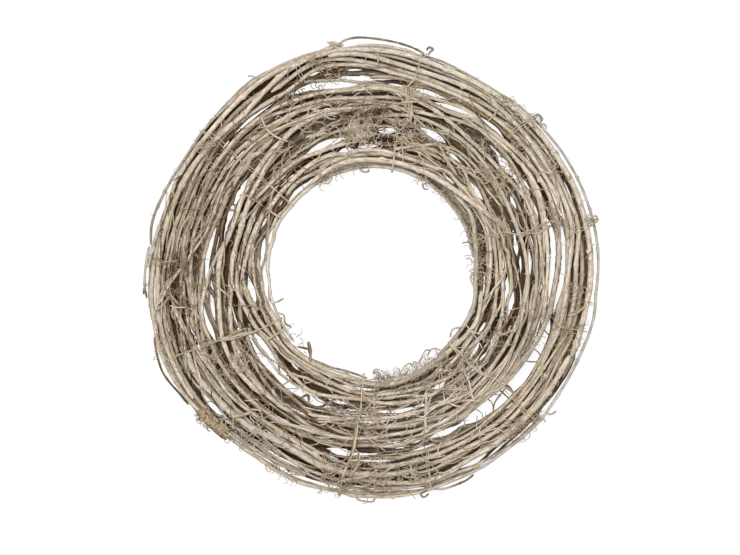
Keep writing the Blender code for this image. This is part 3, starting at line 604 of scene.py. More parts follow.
# %% The gaps
GAPS = np.array((
    (346, 185.6, 366, 192, 5), (358, 189.6, 373.5, 194.2, 4), (351, 177.6, 370, 182.4, 4.6),
    (360, 180.9, 375.5, 183.6, 4.8), (335, 221.2, 360, 222, 4.2), (352, 222, 376, 223, 4.6),
    (372, 222.6, 386, 221, 2.2), (380, 221, 399, 217.8, 2.8), (17, 210.8, 26, 210.5, 1.2),
    (15, 193.5, 18, 193.7, 1.6), (20, 194, 23, 194, 1.4), (24, 185.3, 27, 185.3, 2),
    (33.5, 190.5, 37.5, 190.3, 1.4), (40, 188, 44, 186.8, 1.8), (44, 189, 46.5, 189.8, 1.4),
    (45, 186.6, 54.5, 185.2, 3.4), (55.5, 182.6, 69.5, 176.2, 4), (350, 169, 355.5, 169.7, 1.8),
    (359, 170.4, 363, 170.8, 1.2), (18.4, 173.6, 21.2, 174.2, 4.2), (23, 172.6, 25.2, 175, 2.4),
    (20, 176, 24, 176, 1.2), (26.4, 175.6, 31, 174.2, 3.4), (6.5, 162.2, 11.5, 162.2, 1.4),
    (356.5, 157.2, 368.5, 158, 3.4), (34, 166.6, 41.5, 168.4, 8.6), (42, 156.8, 44.8, 157.2, 1.5),
    (22.5, 154.6, 28.2, 155.8, 4.2), (29, 154.3, 31.5, 154.5, 1.4), (4.5, 144.4, 11.5, 145, 4.2),
    (11.8, 145, 13.8, 145.5, 3.6), (15, 144.5, 18, 144.5, 2.4), (357, 130.6, 365, 130.4, 1.5),
    (31.8, 128.2, 41, 129.8, 5.4), (41, 130, 43.5, 130, 1), (38, 142.5, 41, 143, 1.6),
    (67, 184, 78, 184.3, 4.8), (79.5, 184.6, 86.5, 185, 2.4), (59, 145.2, 71.5, 147.8, 6.8),
    (49.5, 137.4, 59, 138, 3), (55, 127.3, 58, 128, 1.2), (46, 117.2, 55, 118.2, 2.6),
    (79.5, 139.5, 89, 137, 7), (92.5, 198.2, 98, 200.8, 3), (101.5, 199, 105, 199.5, 3.4),
    (104, 202.2, 109, 203.7, 3.6), (89, 188.6, 100, 193.6, 5), (95, 183.6, 108, 189.2, 6),
    (102, 188, 113, 194.6, 5.6), (90, 181.8, 93, 181.8, 1.4), (115, 190, 118, 190.2, 2),
    (117.5, 182.3, 120, 182.4, 1.2), (122.5, 193.2, 136.5, 193, 2.2),
    (137.8, 192.6, 141.5, 192.6, 2.2), (142, 193, 145, 193, 1.6), (123, 144, 127, 144, 1.4),
    (102.5, 133.4, 121.5, 131.4, 7.4), (121, 136.5, 123, 136.5, 1.8), (123.5, 136, 127.5, 136, 1.4),
    (99, 121, 107, 121, 6), (106, 122.5, 108.5, 122.6, 1.8), (87, 122.5, 97.5, 121.3, 3.8),
    (132.5, 127.8, 135.5, 127.3, 1.5), (137, 128, 141, 128.8, 2), (120, 109, 143, 108, 4),
    (142, 112.4, 147.5, 112, 4.4), (145.5, 154.3, 154.8, 152.4, 5.6), (154.4, 152.8, 163, 152.2, 5),
    (154, 166.4, 158.5, 166.6, 1.4), (136, 161.8, 139.5, 162, 1.6), (153.5, 117, 160.5, 118.6, 2.6),
    (164, 112.4, 180, 112.4, 6), (169.6, 114.8, 175, 115.6, 4), (158.5, 107.8, 168.5, 107, 2.8),
    (164, 161.6, 185, 168.4, 4), (166, 157.6, 176, 158.8, 3), (166, 152.7, 171.5, 153, 3.2),
    (156.5, 218.2, 174.5, 222.4, 5), (183.5, 125.4, 196.5, 121.4, 5.6),
    (194.5, 118.9, 198, 118.9, 1.4), (179.5, 107.9, 194, 108.2, 3.4), (188, 163.2, 199, 167, 3.4),
    (179, 159, 184, 160.8, 1.8), (183.5, 161.8, 190.5, 162, 3.2), (191.5, 172.8, 206, 173, 7.4),
    (208, 182.6, 211, 183.6, 1.8), (215, 175.6, 218, 175.6, 1.2), (216, 209.2, 226, 214.6, 9),
    (209, 141.9, 238, 144.4, 3.8), (226, 144.2, 246, 144.8, 7.6), (241, 145.6, 251, 145.8, 8.6),
    (249.5, 146, 254.5, 146, 2.4), (250.5, 138.8, 259, 138.8, 4), (257, 142, 260, 142.6, 2),
    (259.5, 143.6, 263.5, 144, 2.2), (208.5, 134.4, 228, 137.2, 8.4), (225.5, 137, 231.5, 137, 5.4),
    (230.5, 138, 232.8, 138, 1.8), (232.5, 136.8, 238, 137.2, 2.6), (229, 125.6, 235, 126.4, 3.4),
    (239.5, 161.4, 242.6, 160.6, 1.4), (242, 163, 245.6, 161.5, 1.4),
    (255.5, 186.6, 264.8, 187.4, 7.4), (257, 193.3, 259.5, 194, 2),
    (264.2, 187.5, 267.5, 188.3, 1.4), (249, 222.8, 256, 223.2, 4), (255, 222.8, 260.5, 224, 3),
    (284.5, 186.6, 290, 186.6, 1.8), (288, 178.8, 299, 180.4, 5.6), (299.5, 180, 315, 180.8, 11.6),
    (303, 179.6, 318.5, 180.8, 11), (307, 181.4, 320, 183.2, 12.4),
    (317, 184.2, 331.5, 185.2, 10.6), (328.5, 185, 346, 185.6, 5.6),
    (340.5, 143.6, 350.5, 142.4, 5.2), (348, 138.1, 357.5, 133, 2), (328, 123.4, 335.5, 124.2, 4.6),
    (316, 133.6, 326, 129.6, 3.4), (318.5, 141.3, 323, 141.4, 2.4),
    (317.5, 149.8, 321.5, 149.8, 1.4), (295.5, 135, 303, 135.2, 5), (292, 136.4, 297.5, 136, 3.4),
    (286.5, 131.6, 290, 131.6, 1.2), (271.5, 143.8, 277, 144.2, 2.6), (275.5, 145.6, 287, 146, 3.4),
    (291, 148.6, 295.5, 148.8, 1.6), (298.5, 120.5, 300.5, 120.5, 1.6),
    (301.8, 121.3, 305, 121.3, 1.8), (276, 189.3, 279.5, 189.3, 2.4),
    (282.5, 187.6, 289, 186.6, 2.4), (276, 182.6, 281, 182.4, 2.4), (280.5, 179.4, 288.5, 179.6, 3),
    (293.5, 218.2, 301.5, 218.4, 6.4), (299.5, 220, 305.5, 220.4, 3.6),
    (318, 222.2, 324.5, 222.6, 2.8), (345.5, 128.6, 348, 128.6, 0.8),
    (330.5, 164, 332.5, 164.2, 1.2),
), float)

# A row along the outline keeps the canes within it, or outside it along the edge of the hole.
OUTSIDE = np.array((
    (330, 229.8, 392, 229, 3), (363, 230.8, 392, 227.8, 3), (390, 226.8, 413, 221, 3),
    (34, 222.8, 74, 219.4, 3), (52, 219.6, 80, 221.4, 3), (105, 227.6, 122, 225.4, 3),
    (120, 227, 134, 222.6, 3), (130, 222.2, 152, 220.4, 3), (146, 221.2, 168, 228.4, 4),
    (164, 230, 184, 230.2, 4), (226, 224, 243, 228.8, 3), (244, 227, 266, 229, 3),
    (282, 231.2, 326, 227.2, 3), (310, 227.2, 352, 228.6, 3), (258, 107.6, 307, 107.6, 5),
    (324, 104.8, 348, 103.8, 3.5),
), float)

# Where gaps lie side by side, the loose canes go round all of them together.
WIDE = np.array(((211, 138.6, 229, 140.4, 13), (297, 179.4, 346, 186.6, 9.6)), float)

# In a pocket the canes part only near the face, and the dark ones deep in the ring show through.
POCKETS = np.array((
    (358, 212.5, 371, 212.5, 2.4), (14, 213, 30, 211, 2.2), (358, 199, 366, 199.8, 2.4),
    (12, 204.5, 29, 201, 1.8), (10, 200.5, 17, 199.5, 2.6), (22, 199, 32, 197.5, 1),
    (20, 186.2, 26, 186.3, 2), (35, 182.5, 41, 182, 3), (27, 177.5, 37, 177.5, 2.6),
    (1, 158.5, 8, 159, 1.6), (14.5, 155.5, 20, 156, 4), (13, 162, 18, 162, 2.4),
    (25, 160.5, 31, 161, 2.4), (19.5, 144, 22.5, 144, 2.4), (19.5, 137.5, 31, 138.5, 3.4),
    (22, 134.5, 27, 134.5, 1.6), (36, 141.5, 46, 140, 2.4), (36, 137, 42, 136, 3),
    (38, 133, 45, 133, 4), (4, 133.5, 10, 133.5, 2), (8, 134.5, 14, 137, 1.6),
    (14, 135, 18, 133, 2), (17, 125.5, 22, 126.5, 1.6), (358, 126, 375, 126.4, 1.4),
    (358, 116.5, 365, 116.5, 1.6), (358, 112, 363, 112, 2.4), (6, 113, 13, 112.5, 3.6),
    (13, 111.5, 22, 114, 2), (22, 105.5, 33, 105.5, 2.4), (36, 105, 48, 105.2, 2.4),
    (34.5, 121.8, 42, 122, 1.6), (43.5, 122, 50, 123, 1.6), (45, 205, 50, 206.5, 1.6),
    (47, 199, 56, 198.5, 2), (57, 198.5, 76, 198.5, 1.4), (62, 194.5, 69, 191.5, 1.8),
    (50, 193, 60, 192, 2), (58, 206, 74, 205, 1.2), (72, 193, 84, 194, 1.8),
    (84, 195.5, 90, 199, 2), (78, 211, 88, 217, 2.4), (83, 209, 88, 212, 1.6),
    (87, 206.5, 92, 207.5, 2.4), (47, 171.5, 50, 170.5, 2.6), (50, 174.5, 53, 172, 2),
    (52.5, 167, 55, 167, 2.6), (62, 163.5, 69, 162, 3.4), (69, 175, 77, 176, 1.4),
    (70, 169.5, 77, 169.6, 1.8), (81, 172.5, 90, 175.5, 4), (79.5, 157.5, 85, 158, 2),
    (84, 157.5, 92, 157.5, 4), (66, 154, 74, 156, 1.8), (51, 153, 58, 155, 2.4),
    (44, 151.5, 49, 152, 2.4), (45, 147.5, 51, 147.5, 1.6), (49, 148.5, 60, 151, 4),
    (57, 145.5, 63, 150, 5), (85, 146.5, 96, 146.5, 3.6), (64, 143, 79, 144.5, 3),
    (76, 153, 86, 152.5, 3), (43, 122, 48, 122.5, 2), (56, 125, 66, 129, 3.4),
    (66, 123, 75, 120.5, 2.6), (64, 136, 70, 132, 1.4), (80.5, 130, 92, 126, 3),
    (86, 121, 90, 121, 2.6), (80, 116.5, 84, 117, 1.6), (45, 104.5, 54, 104.8, 2),
    (101, 207.5, 105, 209, 2.4), (107, 210.5, 114, 203.5, 2.4), (109, 216, 115, 212, 1.6),
    (116.5, 214.5, 137, 209.5, 3.6), (116, 200.5, 124, 199.5, 2), (124.5, 202, 134, 202, 1.6),
    (118, 190.5, 136, 190.3, 2), (107, 180.5, 119, 179, 3), (111.5, 168.5, 118.5, 169.5, 3.6),
    (126, 182, 134, 184, 1.4), (127, 171, 137, 173, 1.6), (104, 152.5, 121, 152, 3.6),
    (123, 160, 137, 156, 3), (127, 146, 137, 141.5, 3), (123, 139.5, 137, 137, 2.6),
    (116, 125, 121, 124, 3), (126.5, 125, 130, 125, 3), (88, 147, 94, 146, 3.4),
    (90, 162, 100, 163.5, 1.4), (103, 166, 110, 168, 1.6), (134, 217, 147, 216.5, 2.4),
    (142, 208.7, 152, 209.5, 1.6), (145.5, 199.5, 158, 199, 1.8), (150, 203.3, 170, 205.5, 4),
    (158, 195.5, 175, 199.5, 1.6), (170, 202.5, 181, 207, 2.4), (148, 192.5, 158, 191.5, 1.8),
    (136, 195.5, 138.5, 192, 1.6), (146, 184.5, 157, 185.5, 1.6), (152, 188, 158, 187.5, 1.6),
    (156.5, 184.5, 162, 186, 2), (143, 180.5, 152, 179, 1.6), (162, 184, 170, 186, 2.2),
    (168, 184.5, 182, 185, 1.8), (172, 193.5, 182, 192.5, 1.4), (172, 177.5, 185, 179, 4),
    (146, 168, 156, 168, 1.6), (143, 159.5, 150, 157, 3), (150, 158.3, 162, 158.5, 1.6),
    (145, 144.5, 162, 142, 1.6), (134.5, 141.5, 142, 137, 3), (139, 136.5, 142, 135.5, 3),
    (150, 134, 158, 135.5, 2), (158, 134.5, 182, 134.5, 1.6), (160, 126, 175, 128.5, 1.6),
    (144.5, 125.3, 156, 126, 1.8), (167, 142.5, 181, 142.5, 4.4), (168, 146, 175, 147, 1.6),
    (134, 119.5, 142, 121.5, 1.4), (162, 117.5, 170, 121, 2), (170, 217, 182, 220.5, 1.2),
    (167, 209.5, 184, 210.6, 2), (180, 205.5, 186, 206, 3.4), (189, 203.5, 203, 211.5, 3.6),
    (196, 201.5, 204, 205.5, 3.2), (187, 200.5, 193, 198, 3), (190, 195.5, 197, 198.5, 2.2),
    (200, 194, 203, 192.5, 1.6), (184, 187, 196, 190, 1.4), (190, 186.7, 194, 186.5, 1.6),
    (180, 177.8, 190, 179, 2), (209, 222, 217, 222, 1.8), (204, 213.6, 210, 212.5, 1.8),
    (209.5, 212.5, 217, 210, 1.4), (207, 200, 216, 200.5, 1.4), (210, 194.5, 226, 194.5, 2),
    (213, 190.5, 217, 193, 2), (196, 154, 203, 159.5, 3.2), (178, 146.8, 190, 147, 6),
    (190, 149.5, 204, 151.5, 2.6), (190, 141.5, 197, 142.5, 2.4), (180, 135.5, 190, 139, 1.6),
    (193, 134.5, 199, 137, 1.6), (201, 130.5, 213, 124.5, 1.8), (199.5, 122, 205, 120.5, 2.6),
    (181, 117, 190, 113, 2.2), (207, 120.6, 214, 121, 1), (216, 117, 226, 116.8, 1.2),
    (205, 110.5, 213, 110, 1.4), (207, 173.5, 214, 175.5, 2.4), (215, 171.5, 226, 170.5, 2),
    (209, 178, 215, 179, 2), (219, 181.2, 226, 181.3, 1.2), (205.5, 164, 210, 166, 2.6),
    (214, 155.5, 224, 159.5, 2), (208, 151, 218, 150.5, 2), (229, 207, 240, 205.5, 2),
    (238, 201.5, 254, 207.5, 2.8), (224, 216.5, 232, 214.5, 2), (234, 213, 243, 217.5, 2.4),
    (222, 192.5, 228, 193, 2.6), (246, 183.5, 252, 186, 3.6), (252, 188.5, 256, 190, 2.6),
    (230, 173.5, 239, 173.5, 3), (236, 181.5, 246, 183, 1.4), (249, 169, 254, 168.5, 2.4),
    (231, 157.5, 243, 158, 3.6), (244, 157, 262, 152, 2.6), (224, 127.5, 236, 129.5, 4.4),
    (244, 131.5, 256, 132, 3.4), (236, 117, 252, 119, 1.6), (222, 116, 237, 116.5, 1.4),
    (261, 213, 268, 218, 2.6), (265, 197, 271, 197.5, 4), (258, 161, 262, 162, 3.4),
    (282, 208.5, 290, 206.5, 3), (290, 205.5, 297, 205.5, 1.6), (285, 215.5, 296, 212, 2),
    (296, 210.5, 303, 207.5, 1.8), (303, 207.3, 309, 208, 1.4), (310, 208.5, 320, 208.5, 2),
    (277.5, 214.5, 281, 214, 2), (272, 212, 275, 213, 1.6), (296, 200, 309, 200.8, 1.8),
    (287, 198, 297, 198.5, 2), (305, 194.5, 313, 196, 1.8), (293, 189.8, 306, 190, 1.4),
    (271, 171.5, 291, 170.3, 2.4), (269, 163, 275, 161.5, 3.4), (294, 161.5, 305, 161.5, 2.4),
    (308, 164.5, 318, 162, 3.4), (280, 153.5, 288, 156.5, 2.4), (291, 154.5, 300, 154.5, 2),
    (270, 140.5, 282, 141.5, 2.2), (293, 146, 303, 147.5, 4), (303, 145, 309, 144, 4),
    (277, 133, 287, 136, 1.6), (288, 133.5, 294, 133.5, 2.4), (275, 121.5, 284, 121.5, 2),
    (286, 121.5, 301, 119.8, 3), (298, 128, 310, 128.3, 2), (303, 135.5, 311, 136, 3),
    (307, 117.5, 320, 117.5, 2.2), (327, 210.3, 339, 211.5, 2.6), (322, 205.5, 333, 206, 1.6),
    (325, 195.5, 341, 199.5, 1.8), (343, 200.5, 356, 199, 2), (345, 212.5, 362, 212.4, 1.6),
    (313, 168.5, 326, 166.5, 1.6), (312, 163, 325, 161.5, 1.6), (326, 164.5, 341, 162, 1.6),
    (320, 158.5, 336, 157.5, 1.6), (341, 160, 348, 156, 1.6), (316, 151.5, 341, 150.5, 3.2),
    (340, 150, 354, 146, 4.4), (353, 160.5, 357, 161, 2.6), (327, 133.5, 342, 133.5, 3.4),
    (341, 131, 353, 128, 3), (336, 121.8, 350, 122.5, 2.6), (345, 119.5, 356, 119, 1.6),
    (325, 111.5, 351, 108.5, 4), (357, 111.5, 362, 111.5, 2.4), (318, 140.5, 326, 139.5, 1.8),
), float)


FREE = 99.0
GAP_REACH = 0.62
GAP_MARGIN = 0.4
MEAN_RADIUS = 165.0
EVENING_PASSES = 4


def bowed_round_gaps(at, radius, half, most=FREE, pockets=False):
    """Routes (M, N) of radii at azimuths (M, N), moved sideways until they clear the gaps.

    In a gap the route keeps to the side that it has at the gap's middle, at least
    (gap width / 2 + half + GAP_MARGIN) * (1 - t^2) from its middle line. Along the gap, t goes from
    -1 to 1 over a little more than its length, so a gap is pointed. The gaps are taken in order and
    then in reverse, because a route that goes round one may be pushed into the next. Before them
    come the pockets, if asked for, and the WIDE rows, if the route is FREE to move. Last come the
    OUTSIDE rows, which hold the route on the ring's side of its outline. It is then evened out, and
    no point moves further than most."""
    given = radius
    radius = radius.copy()
    rows = np.arange(len(at))
    first_rows = ((POCKETS,) if pockets else ()) + ((WIDE,) if most == FREE else ())
    to_clear = np.concatenate(first_rows + (GAPS, GAPS[::-1], OUTSIDE))
    for number, (first, r_first, last, r_last, width) in enumerate(to_clear):
        off = (at - (first + last) / 2 + 180) % 360 - 180
        t = off / (GAP_REACH * (last - first))
        line = (r_first + r_last) / 2 + np.clip(t, -1, 1) * GAP_REACH * (r_last - r_first)
        nearest = np.argmin(np.abs(off), axis=1)
        side = np.where(radius[rows, nearest] >= line[rows, nearest], 1.0, -1.0)[:, None]
        if number >= len(to_clear) - len(OUTSIDE):
            side = -1.0 if r_first > MEAN_RADIUS else 1.0
        needed = (width / 2 + half[:, None] + GAP_MARGIN) * (1 - np.clip(t, -1, 1) ** 2)
        beside = side * (radius - line)
        radius = np.where((np.abs(t) < 1) & (beside < needed), line + side * needed, radius)
    for _ in range(EVENING_PASSES):
        radius[:, 1:-1] = (radius[:, :-2] + 2 * radius[:, 1:-1] + radius[:, 2:]) / 4
    return np.clip(radius, given - most, given + most)


print("gaps:", len(GAPS), "pockets:", len(POCKETS))

# %% [markdown]
# ## The canes
# A willow rod is never a smooth hoop. It was bent round by hand, so it stays a little straight
# between its joints and turns at them. At each joint it is thicker, with a bud or the stump of a
# leaf on one side. The function below walks along the model's line in steps of about a millimetre,
# and adds those things: random sideways shifts at the joints with straight runs between, a swelling
# at each joint, a bump on one side of it, and long shallow ridges round the section.


# %% One cane's surface
CANE_BOW = 3.5
CANE_SLIMMING = 0.94
JOINT_SPACING = (14, 48)
SWELLINGS = (0.04, 0.28)
BUDS = (0.1, 0.8)
RIDGE = 0.03
RIPPLE = 0.05
ROUGHNESS = 0.12


def cane_tubes(azimuth, radius, height, half, tint, pace=1.2, sides=10, wander=0.55):
    """A cane along a line of azimuths, radii, heights and half widths.

    Its half width is the line's * (1 + swelling + ripple). The swelling is a sum of bells at the
    joints. The relief is ridges, RIDGE * cos(3 a + phase), plus a bud at each joint: a bell along the
    cane times the fourth power of the cosine round it, on the facing side only, plus smoothed noise."""
    length = np.sum(np.hypot(np.diff(radius), np.radians(np.diff(azimuth)) * (radius[1:] + radius[:-1]) / 2))
    rings = max(8, int(length / pace))
    at = np.linspace(azimuth[0], azimuth[-1], rings)
    coarse = np.linspace(azimuth[0], azimuth[-1], int(np.ptp(azimuth) / 1.5) + 2)
    plain = smooth_curve(coarse, azimuth, radius)
    bowed = bowed_round_gaps(coarse[None], plain[None], np.array([half.mean()]), CANE_BOW)[0]
    r = smooth_curve(at, coarse, bowed)
    z = smooth_curve(at, azimuth, height)
    w = CANE_SLIMMING * np.interp(at, azimuth, half)
    s = np.linspace(0, length, rings)
    joints = np.cumsum(rng.uniform(*JOINT_SPACING, int(length / JOINT_SPACING[0]) + 3)) - 25
    sideways = np.interp(s, joints, wander * rng.normal(size=len(joints)))
    upways = np.interp(s, joints, 0.5 * wander * rng.normal(size=len(joints)))
    bell = np.exp(-((s[:, None] - joints) / (1.1 * w.mean())) ** 2)
    swelling = bell @ rng.uniform(*SWELLINGS, len(joints))
    ripple = RIPPLE * np.sin(s / rng.uniform(5, 9) + 7 * rng.random()) * np.sin(s / rng.uniform(17, 40))
    w = w * (1 + swelling + ripple) * np.clip(np.minimum(s, length - s) / 12 + 0.55, 0, 1)
    turn = np.arange(sides) * math.tau / sides
    facing = rng.uniform(0, math.tau, len(joints))
    bud = np.maximum(np.cos(turn - facing[:, None]), 0) ** 4
    small_bell = np.exp(-((s[:, None] - joints - 1.0) / (0.6 * w.mean())) ** 2)
    relief = small_bell @ (bud * rng.uniform(*BUDS, (len(joints), 1)))
    relief = relief + RIDGE * np.cos(3 * turn + 0.01 * s[:, None] * rng.uniform(-1, 1) + 7 * rng.random())
    rough = rng.normal(0, ROUGHNESS, (rings, sides))
    for _ in range(2):
        rough[1:-1] = (rough[:-2] + 2 * rough[1:-1] + rough[2:]) / 4
        rough = (np.roll(rough, 1, axis=1) + 2 * rough + np.roll(rough, -1, axis=1)) / 4
    relief = relief + rough
    turn_at = np.radians(at)
    path = np.stack(((r + sideways) * np.cos(turn_at), (r + sideways) * np.sin(turn_at), z + upways), -1)
    path[:, 2] = np.maximum(path[:, 2], w * (1 + relief.max(axis=1)) + 0.3)
    tints = stained_and_depth_shaded(path[None], shades(tint, rings)[None])
    return tube_set(path[None], w[None], sides, tints, relief[None])


SLIMMER = {"outer_rim_cane": 0.75, "inner_gap_cane": 0.75}
for name, line in CANES.items():
    back = "back" in name
    # Back canes are given the dark tint, which is partly painted shade of the deep ring.
    tint = "dark" if back else CANE_TINTS.get(name, "pale")
    line[3] *= SLIMMER.get(name, 1.0)
    parts = cane_tubes(*line, tint, pace=2.0 if back else 1.2, sides=8 if back else 10)
    make_piece("fine_" + name, parts, DEEP_BARK if back else CANE_BARK, [name])
    press(parts)
print("canes dressed:", len(CANES))

# %% [markdown]
# ## Canes deep in the ring
# Behind the canes of the model there are many thinner and darker ones. They are long arcs that drift
# in and out a little, laid in lanes across the ring at several depths. Their ends taper, as the tips
# of willow rods do. A short one more lies under each pocket, so that no light comes through there.

# %% Buried canes
RING_SPACING = 4.8
NEAR_FACE = 5
DARK_SPREAD = 0.16
POCKET_RINGS = 14
POCKET_OVERRUN = 0.25
POCKET_FLOOR = 3.5


def buried_canes(count, inner, outer, low, high, half_low, half_high, tint,
                 azimuth=(0, 360), span=(70, 190)):
    """Arcs r = lane + drift, where drift is a sum of two slow sines. They bow round the gaps, and those
    that lie near the face bow round the pockets too."""
    start = rng.uniform(*azimuth, count)
    length = rng.uniform(*span, count)
    lane = inner + (outer - inner) * (rng.permutation(count) + rng.random(count)) / count
    half = rng.uniform(half_low, half_high, count)
    rings = int(math.radians(span[1]) * MEAN_RADIUS / RING_SPACING)
    t = np.linspace(0, 1, rings)
    at = start[:, None] + length[:, None] * t
    wave = np.sin(np.radians(at) * rng.uniform(1, 3, (count, 1)) + rng.uniform(0, 7, (count, 1)))
    ripple = np.sin(np.radians(at) * rng.uniform(7, 14, (count, 1)) + rng.uniform(0, 7, (count, 1)))
    drifting = lane[:, None] + 4.0 * wave + 0.9 * ripple
    radius = bowed_round_gaps(at, drifting, half, pockets=low > NEAR_FACE)
    depth = rng.uniform(low, high, (count, 1)) + 1.2 * np.sin(np.radians(at) * rng.uniform(3, 8, (count, 1)))
    halves = half[:, None] * np.clip(8 * np.minimum(t, 1 - t) + 0.35, 0, 1)
    halves = halves * (1 + 0.08 * rng.normal(size=at.shape))
    turn = np.radians(at)
    depth = np.maximum(depth, halves + FLOOR_GAP)
    paths = np.stack((radius * np.cos(turn), radius * np.sin(turn), depth), -1)
    colours = np.stack([shades(tint, rings, DARK_SPREAD) for _ in range(count)])
    return tube_set(paths, halves, 5, stained_and_depth_shaded(paths, colours))


def pocket_floors():
    """A short dark cane deep under each pocket, a little longer and wider than the pocket."""
    first, r_first, last, r_last, width = POCKETS.T[:, :, None]
    t = np.linspace(-POCKET_OVERRUN, 1 + POCKET_OVERRUN, POCKET_RINGS)[None]
    at = first + (last - first) * t
    half = 0.7 * width + 0.9
    radius = bowed_round_gaps(at, r_first + (r_last - r_first) * t, half[:, 0])
    to_end = np.minimum(t + POCKET_OVERRUN, 1 + POCKET_OVERRUN - t)
    halves = half * np.clip(3 * to_end + 0.3, 0, 1)
    turn = np.radians(at)
    depth = np.maximum(POCKET_FLOOR, halves + FLOOR_GAP)
    paths = np.stack((radius * np.cos(turn), radius * np.sin(turn), depth), -1)
    # The deep tint is partly painted shade: the cane darkens the bottom of the pocket.
    colours = np.stack([shades("deep", POCKET_RINGS, DARK_SPREAD) for _ in POCKETS])
    return tube_set(paths, halves, 5, stained_and_depth_shaded(paths, colours))


# A row of canes: how many, their innermost and outermost lane, heights, half widths and colour, and,
# if given, the azimuths that they start at and how far round they go.
# The deep and dark tints of the low and middle layers are partly painted shade of the deep ring.
LAYERS = (
    ("buried_canes_low", "shaded_bark", ((100, 112, 214, 2.5, 5.0, 1.7, 2.9, "deep"),
                                         (16, 205, 217, 3.0, 7.0, 1.2, 2.0, "deep"),
                                         (8, 106, 111, 3.0, 8.0, 1.2, 2.0, "dark", (350, 400), (20, 60)),
                                         (10, 129, 142, 3.0, 8.0, 1.6, 2.6, "deep", (12, 24), (22, 46)),
                                         (12, 126, 160, 3.0, 8.0, 1.4, 2.4, "deep", (92, 108), (20, 50)))),
    ("buried_canes_middle", "shaded_bark", ((50, 110, 212, 6.0, 9.5, 1.0, 1.9, "dark"),
                                            (30, 110, 212, 8.0, 12.0, 0.9, 1.4, "brown"))),
    ("buried_canes_high", "warm_bark", ((16, 112, 190, 11.0, 15.0, 1.1, 1.8, "sand", (0, 360), (30, 80)),
                                        (12, 112, 190, 12.0, 16.0, 1.0, 1.7, "grey", (0, 360), (30, 80)),
                                        (7, 192, 214, 11.0, 15.0, 1.1, 1.7, "sand", (215, 400), (30, 80)))),
)
for name, slot, rows in LAYERS:
    parts = joined([buried_canes(*row) for row in rows] + ([pocket_floors()] if "low" in name else []))
    make_piece(name, parts, DEEP_BARK)
    press(parts)
    print(name, "faces:", len(parts["quads"]))

# %% [markdown]
# ## Thin canes on the face
# These lie among the canes of the model or across them. Each row gives a colour, a width, a height
# (or none, where the cane lies over what is below) and the route as azimuths and radii.

